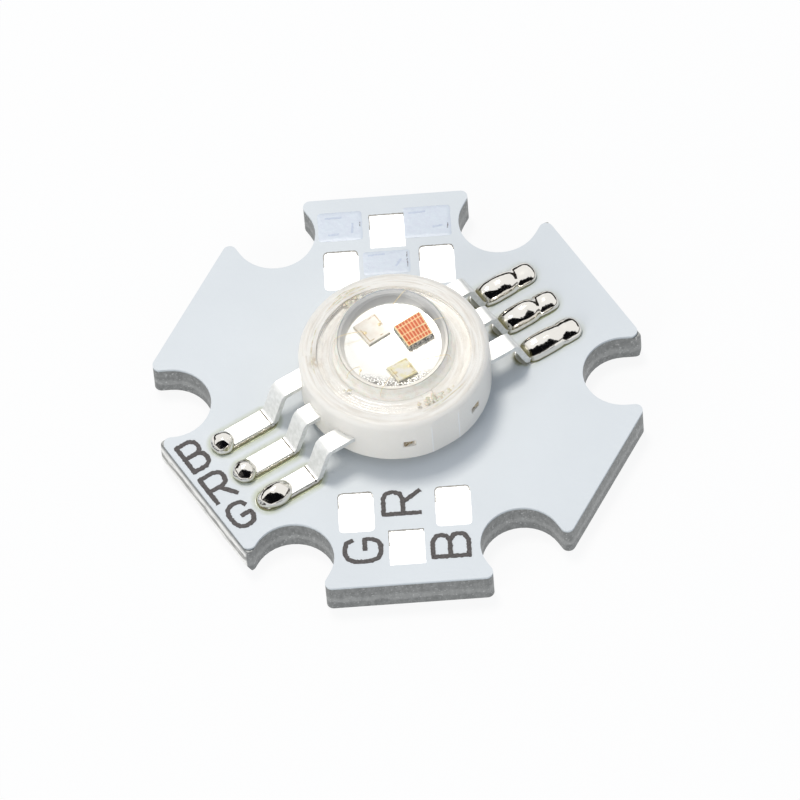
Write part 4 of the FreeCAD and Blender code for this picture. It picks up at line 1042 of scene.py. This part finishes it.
class STARLED_OT_fit_lens(bpy.types.Operator):
    """Make the clear lens with its gel, and the silicone at its filling ports"""
    bl_idname = "starled.fit_lens"
    bl_label = "Fit Lens"

    def execute(self, context):
        mesh = revolve(self.lens_section(), emitter().turns)
        make_piece("clear_lens", mesh, clear_lens(), ["lens", "encapsulant"])
        squeezed = cured_silicone("squeezed_silicone", "F6EFE0", "DCCDAE", 0.05)
        self.froth_ports(squeezed)
        self.draw_strings(squeezed)
        self.fill_well(cured_silicone("clouded_silicone", "F7F4EC", "EFE9DC", 0.01))
        return {"FINISHED"}

    def lens_section(self):
        """Half section of the dome, its foot, the ridged flange and the gel down to the floor of the cup."""
        radius = emitter().dome_radius / MM
        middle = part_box("lens")[1].z / MM - radius
        rim = math.radians(84)
        steps = 56
        angles = [rim * step / steps for step in range(steps + 1)]
        section = [(radius * math.sin(angle), middle + radius * math.cos(angle)) for angle in angles]
        foot = Vector(section[-1])
        corner, end = Vector((radius + 0.01, FLANGE_LEVEL)), Vector((2.84, FLANGE_LEVEL))
        for step in range(1, 9):
            share = step / 8
            bend = foot.lerp(corner, share).lerp(corner.lerp(end, share), share)
            section.append((bend.x, bend.y))
        for step in range(19):
            ridge = 0.006 * (1 - math.cos(2 * math.pi * step / 6))
            section.append((2.86 + 0.02 * step, FLANGE_LEVEL + ridge))
        return section + [(FLANGE_RADIUS, FLANGE_LEVEL), (FLANGE_RADIUS, SEAT_LEVEL - SUNK),
                          (WELL_RADIUS + SUNK, SEAT_LEVEL - SUNK), (WELL_RADIUS + SUNK, WELL_FLOOR - SUNK),
                          (NECK_RADIUS - SUNK, WELL_FLOOR - SUNK), (NECK_RADIUS - SUNK, CUP_TOP - SUNK),
                          (CUP_RIM + SUNK, CUP_TOP - SUNK), (CUP_RADIUS + SUNK, CUP_FLOOR - SUNK),
                          (0, CUP_FLOOR - SUNK)]

    def froth_ports(self, silicone):
        """Lumps of silicone where the filling ports overflowed."""
        # Turn in degrees, reach, spread of both, number of lumps and their size
        spots = (("front", -56, 3.12, 13, 0.24, 40, 0.075), ("left", -137, 2.75, 4, 0.1, 7, 0.05),
                 ("back", 121, 3.2, 9, 0.2, 22, 0.07))
        for name, azimuth, reach, half_angle, half_width, count, size in spots:
            mesh = bmesh.new()
            for index in range(count):
                swing = half_angle * noise.noise(Vector((index * 3.7, azimuth, 0.5))) * 1.8
                turn = math.radians(azimuth + swing)
                out = reach + half_width * noise.noise(Vector((azimuth, index * 2.9, 7.5))) * 1.8
                width = size * (1 + 0.6 * noise.noise(Vector((index * 1.3, 4.5, azimuth))))
                centre = round_axis(out, turn, FLANGE_LEVEL - 0.01)
                made = bmesh.ops.create_icosphere(mesh, subdivisions=3, radius=1.0)
                for vertex in made["verts"]:
                    lump = 1 + 0.3 * noise.noise(vertex.co * 2.1 + Vector((index * 5.0, 0, 0)))
                    flat = Vector((vertex.co.x, vertex.co.y, vertex.co.z * 0.45))
                    vertex.co = centre + flat * width * lump
            make_piece(f"port_froth_{name}", mesh, silicone)

    def draw_strings(self, silicone):
        """Thin strings of silicone that were left over the rim."""
        # First and last turn in degrees, reach and radius
        strings = ((102, 138, 3.42, 0.035), (108, 143, 3.56, 0.045), (112, 132, 3.68, 0.03),
                   (-75, -30, 3.46, 0.028), (150, 200, 3.5, 0.025))
        steps = 24
        mesh = bmesh.new()
        for first, last, reach, size in strings:
            points = []
            for step in range(steps + 1):
                share = step / steps
                turn = math.radians(first + (last - first) * share)
                out = reach + 0.09 * noise.noise(Vector((share * 2.2, reach, first)))
                points.append(round_axis(out, turn, HOUSING_TOP - 0.005))
            add_thread(mesh, points, size, 0.5, True)
        make_piece("silicone_strings", mesh, silicone)

    def fill_well(self, silicone):
        """Silicone in the well round the slug's neck, and in the runners of the two ports."""
        ports = (-60, 120)
        base = 3.85
        inner, outer = NECK_RADIUS + SUNK, WELL_RADIUS - SUNK
        fill = [(inner, base), (outer, base), (outer, SEAT_LEVEL), (2.3, 4.06), (2.1, 4.13), (1.95, 4.24),
                (1.88, 4.34), (inner, 4.37)]
        mesh = revolve(fill + fill[:1], emitter().turns)
        for vertex in mesh.verts:
            if vertex.co.z > SEAT_LEVEL + 0.01:
                turn = math.atan2(vertex.co.y, vertex.co.x)
                vertex.co.z += 0.02 * noise.noise(round_axis(2, turn, vertex.co.z * 6))
        bmesh.ops.remove_doubles(mesh, verts=mesh.verts, dist=1e-6)
        for port in ports:
            runner = Matrix.Rotation(math.radians(port), 4, "Z") @ Matrix.Translation((2.75, 0, base))
            bmesh.ops.create_cube(mesh, size=1.0, matrix=runner @ Matrix.Diagonal((0.72, 0.48, 0.28, 1)))
        make_piece("well_silicone", mesh, silicone)


class STARLED_OT_bond_wires(bpy.types.Operator):
    """Loop the gold wires from the dies over the rim of the cup to the leads"""
    bl_idname = "starled.bond_wires"
    bl_label = "Bond Wires"

    def execute(self, context):
        gold = drawn_gold()
        radius = emitter().wire_radius / MM
        along, across = 1.52, 1.425
        # Start on a die or the cup's floor, and the far end on a lead, both in the leads' own frame
        wires = {"blue_left": ((-0.34, 0.945, 4.3), (-along, across)),
                 "blue_right": ((0.14, 0.945, 4.3), (along, across)),
                 "green_left": ((-0.43, -0.81, 4.3), (-along, -across)),
                 "green_right": ((0.05, -0.81, 4.3), (along, -across)),
                 "red_top": ((0.83, 0.21, 4.39), (2.04, 0)),
                 "red_floor": ((-1.28, 0, CUP_FLOOR), (-2.04, 0))}
        for name, (start, tip) in wires.items():
            first = on_leads(*start)
            last = on_leads(*tip, WELL_FLOOR)
            level = Vector((last.x - first.x, last.y - first.y, 0))
            stations = ((0, start[2]), (0.01, start[2] + 0.06), (0.12, CUP_TOP + 0.04), (0.5, CUP_TOP + 0.11),
                        (1 - 0.2 / level.length, CUP_TOP + 0.08), (1 - 0.03 / level.length, CUP_TOP - 0.08),
                        (1, 3.9), (1, 3.5), (1, WELL_FLOOR))
            posts = [Vector((first.x, first.y, height)) + level * share for share, height in stations]
            mesh = bmesh.new()
            add_thread(mesh, smooth_path(posts), radius)
            self.add_bond(mesh, first)
            make_piece(f"gold_wire_{name}", mesh, gold, [f"bond_wire_{name}"])
        return {"FINISHED"}

    def add_bond(self, mesh, spot):
        """Pressed ball where a wire starts."""
        width, height, lift = 0.045, 0.022, 0.008
        ball = bmesh.ops.create_uvsphere(mesh, u_segments=16, v_segments=10, radius=1.0)
        for vertex in ball["verts"]:
            vertex.co = spot + Vector((vertex.co.x * width, vertex.co.y * width, lift + vertex.co.z * height))


class STARLED_OT_set_stage(bpy.types.Operator):
    """Set the floor, the lamps and the camera"""
    bl_idname = "starled.set_stage"
    bl_label = "Set Stage"

    def execute(self, context):
        studio = context.scene.star_led.studio
        self.lay_floor()
        self.stand_cards()
        self.hang_lamps(studio)
        self.light_room(studio)
        self.place_camera(studio)
        context.scene.view_settings.view_transform = "Standard"
        return {"FINISHED"}

    def lay_floor(self):
        """White sweep that keeps the shadow of the board."""
        material = new_material("white_paper")
        paper = add(material, "BsdfDiffuse", {"Color": "FAFAFA"})
        glow = add(material, "Emission", {"Color": "FFFFFF", "Strength": 1.0})
        share = add(material, "Math", [self.in_sight(material), 0.9], operation="MULTIPLY")
        add(material, "OutputMaterial", [add(material, "MixShader", [share, paper, glow])])
        mesh = bmesh.new()
        bmesh.ops.create_grid(mesh, x_segments=8, y_segments=8, size=1.5)
        floor = place_mesh("floor", mesh, material)
        floor.location.z = -0.01 * MM

    def stand_cards(self):
        """Dark cards round the stage that only metal and gloss mirror."""
        # Tone, distance in metres, and the turns and rises in degrees that it spans
        cards = (("camera_card", "101012", 0.4, (-160, -26), (8, 79)),
                 ("back_card", "2C2925", 0.42, (20, 160), (3, 26)),
                 ("horizon_card", "6A6660", 0.44, (-180, 180), (2, 12)))
        steps = 48
        for name, tone, away, (first, last), (bottom, top) in cards:
            material = new_material(name)
            add(material, "OutputMaterial", [add(material, "BsdfDiffuse", {"Color": tone})])
            rises = [math.radians(rise) for rise in (bottom, (bottom + top) / 2, top)]
            mesh = bmesh.new()
            columns = []
            for step in range(steps + 1):
                turn = math.radians(first + (last - first) * step / steps)
                columns.append([mesh.verts.new(round_axis(away * math.cos(rise), turn, away * math.sin(rise)))
                                for rise in rises])
            for before, after in zip(columns, columns[1:]):
                for low in (0, 1):
                    mesh.faces.new([before[low], after[low], after[low + 1], before[low + 1]])
            card = place_mesh(name, mesh, material)
            card.visible_camera = False
            card.visible_diffuse = False
            card.visible_shadow = False
            card.visible_transmission = False

    def in_sight(self, owner):
        """1 for what the camera, metal and glass see, 0 for what only lights the object."""
        path = add(owner, "LightPath").outputs
        seen = add(owner, "Math", [path["Is Camera Ray"], path["Is Glossy Ray"]], operation="MAXIMUM")
        return add(owner, "Math", [seen, path["Is Transmission Ray"]], operation="MAXIMUM")

    def hang_lamps(self, studio):
        """A softbox overhead at the back left, and a low lamp in front for the upright faces."""
        lamps = (("softbox", (-0.06, 0.165, 0.45), 0.12, studio.key_power, "FFFAF2"),
                 ("front_lamp", (-0.32, -0.34, 0.17), 0.3, studio.fill_power, "FFFBF4"))
        for name, where, size, power, tint in lamps:
            lamp = bpy.data.lights.new(name, "AREA")
            lamp.shape = "SQUARE"
            lamp.size = size
            lamp.energy = power
            lamp.color = linear(tint)[:3]
            holder = bpy.data.objects.new(name, lamp)
            holder.location = where
            holder.rotation_mode = "QUATERNION"
            holder.rotation_quaternion = Vector(where).to_track_quat("Z", "Y")
            bpy.context.scene.collection.objects.link(holder)

    def light_room(self, studio):
        """Soft room light that looks white to the camera, to metal and to glass."""
        world = bpy.data.worlds.new("white_room")
        bpy.context.scene.world = world
        world.use_nodes = True
        world.node_tree.nodes.clear()
        dim = add(world, "Background", {"Color": "E6F0FF", "Strength": studio.room_light})
        white = add(world, "Background", {"Color": "FFFFFF", "Strength": 1.0})
        add(world, "OutputWorld", [add(world, "MixShader", [self.in_sight(world), dim, white])])

    def place_camera(self, studio):
        """Camera as the photograph was taken."""
        azimuth, elevation, roll = studio.azimuth, studio.elevation, studio.roll
        back = Vector((math.sin(azimuth) * math.cos(elevation), -math.cos(azimuth) * math.cos(elevation),
                       math.sin(elevation)))
        level = (-back).cross(Vector((0, 0, 1))).normalized()
        upright = level.cross(-back)
        right = level * math.cos(roll) + upright * math.sin(roll)
        up = upright * math.cos(roll) - level * math.sin(roll)
        camera = bpy.data.cameras.new("camera")
        camera.sensor_width = 36
        camera.lens = studio.focal_length
        camera.clip_start = 0.01
        camera.clip_end = 10
        holder = bpy.data.objects.new("camera", camera)
        turn = Matrix((right, up, back)).transposed().to_4x4()
        where = back * studio.distance + right * studio.offset_right + up * studio.offset_up
        holder.matrix_world = Matrix.Translation(where) @ turn
        bpy.context.scene.collection.objects.link(holder)
        bpy.context.scene.camera = holder


class STARLED_PT_panel(bpy.types.Panel):
    """Sidebar panel with the steps and their settings"""
    bl_label = "Star LED"
    bl_idname = "STARLED_PT_panel"
    bl_space_type = "VIEW_3D"
    bl_region_type = "UI"
    bl_category = "Star LED"

    def draw(self, context):
        settings = context.scene.star_led
        groups = {"Board": settings.board, "Emitter": settings.emitter, "Studio": settings.studio}
        for title, group in groups.items():
            box = self.layout.box()
            box.label(text=title)
            for name in group.__annotations__:
                box.prop(group, name)
        for step in STEPS:
            self.layout.operator(step.bl_idname)


STEPS = (STARLED_OT_dress_board, STARLED_OT_print_marks, STARLED_OT_dress_housing, STARLED_OT_plate_slug,
         STARLED_OT_plate_leads, STARLED_OT_mount_dies, STARLED_OT_bond_wires, STARLED_OT_flow_solder,
         STARLED_OT_fit_lens, STARLED_OT_set_stage)
CLASSES = (BoardSettings, EmitterSettings, StudioSettings, StarLedSettings, *STEPS, STARLED_PT_panel)


def register():
    for entry in CLASSES:
        bpy.utils.register_class(entry)
    bpy.types.Scene.star_led = PointerProperty(type=StarLedSettings)


def unregister():
    del bpy.types.Scene.star_led
    for entry in reversed(CLASSES):
        bpy.utils.unregister_class(entry)


def main():
    """Register the add-on and run its steps."""
    register()
    bpy.ops.starled.dress_board()
    bpy.ops.starled.print_marks()
    bpy.ops.starled.dress_housing()
    bpy.ops.starled.plate_slug()
    bpy.ops.starled.plate_leads()
    bpy.ops.starled.mount_dies()
    bpy.ops.starled.bond_wires()
    bpy.ops.starled.flow_solder()
    bpy.ops.starled.fit_lens()
    bpy.ops.starled.set_stage()


if __name__ == "__main__":
    main()
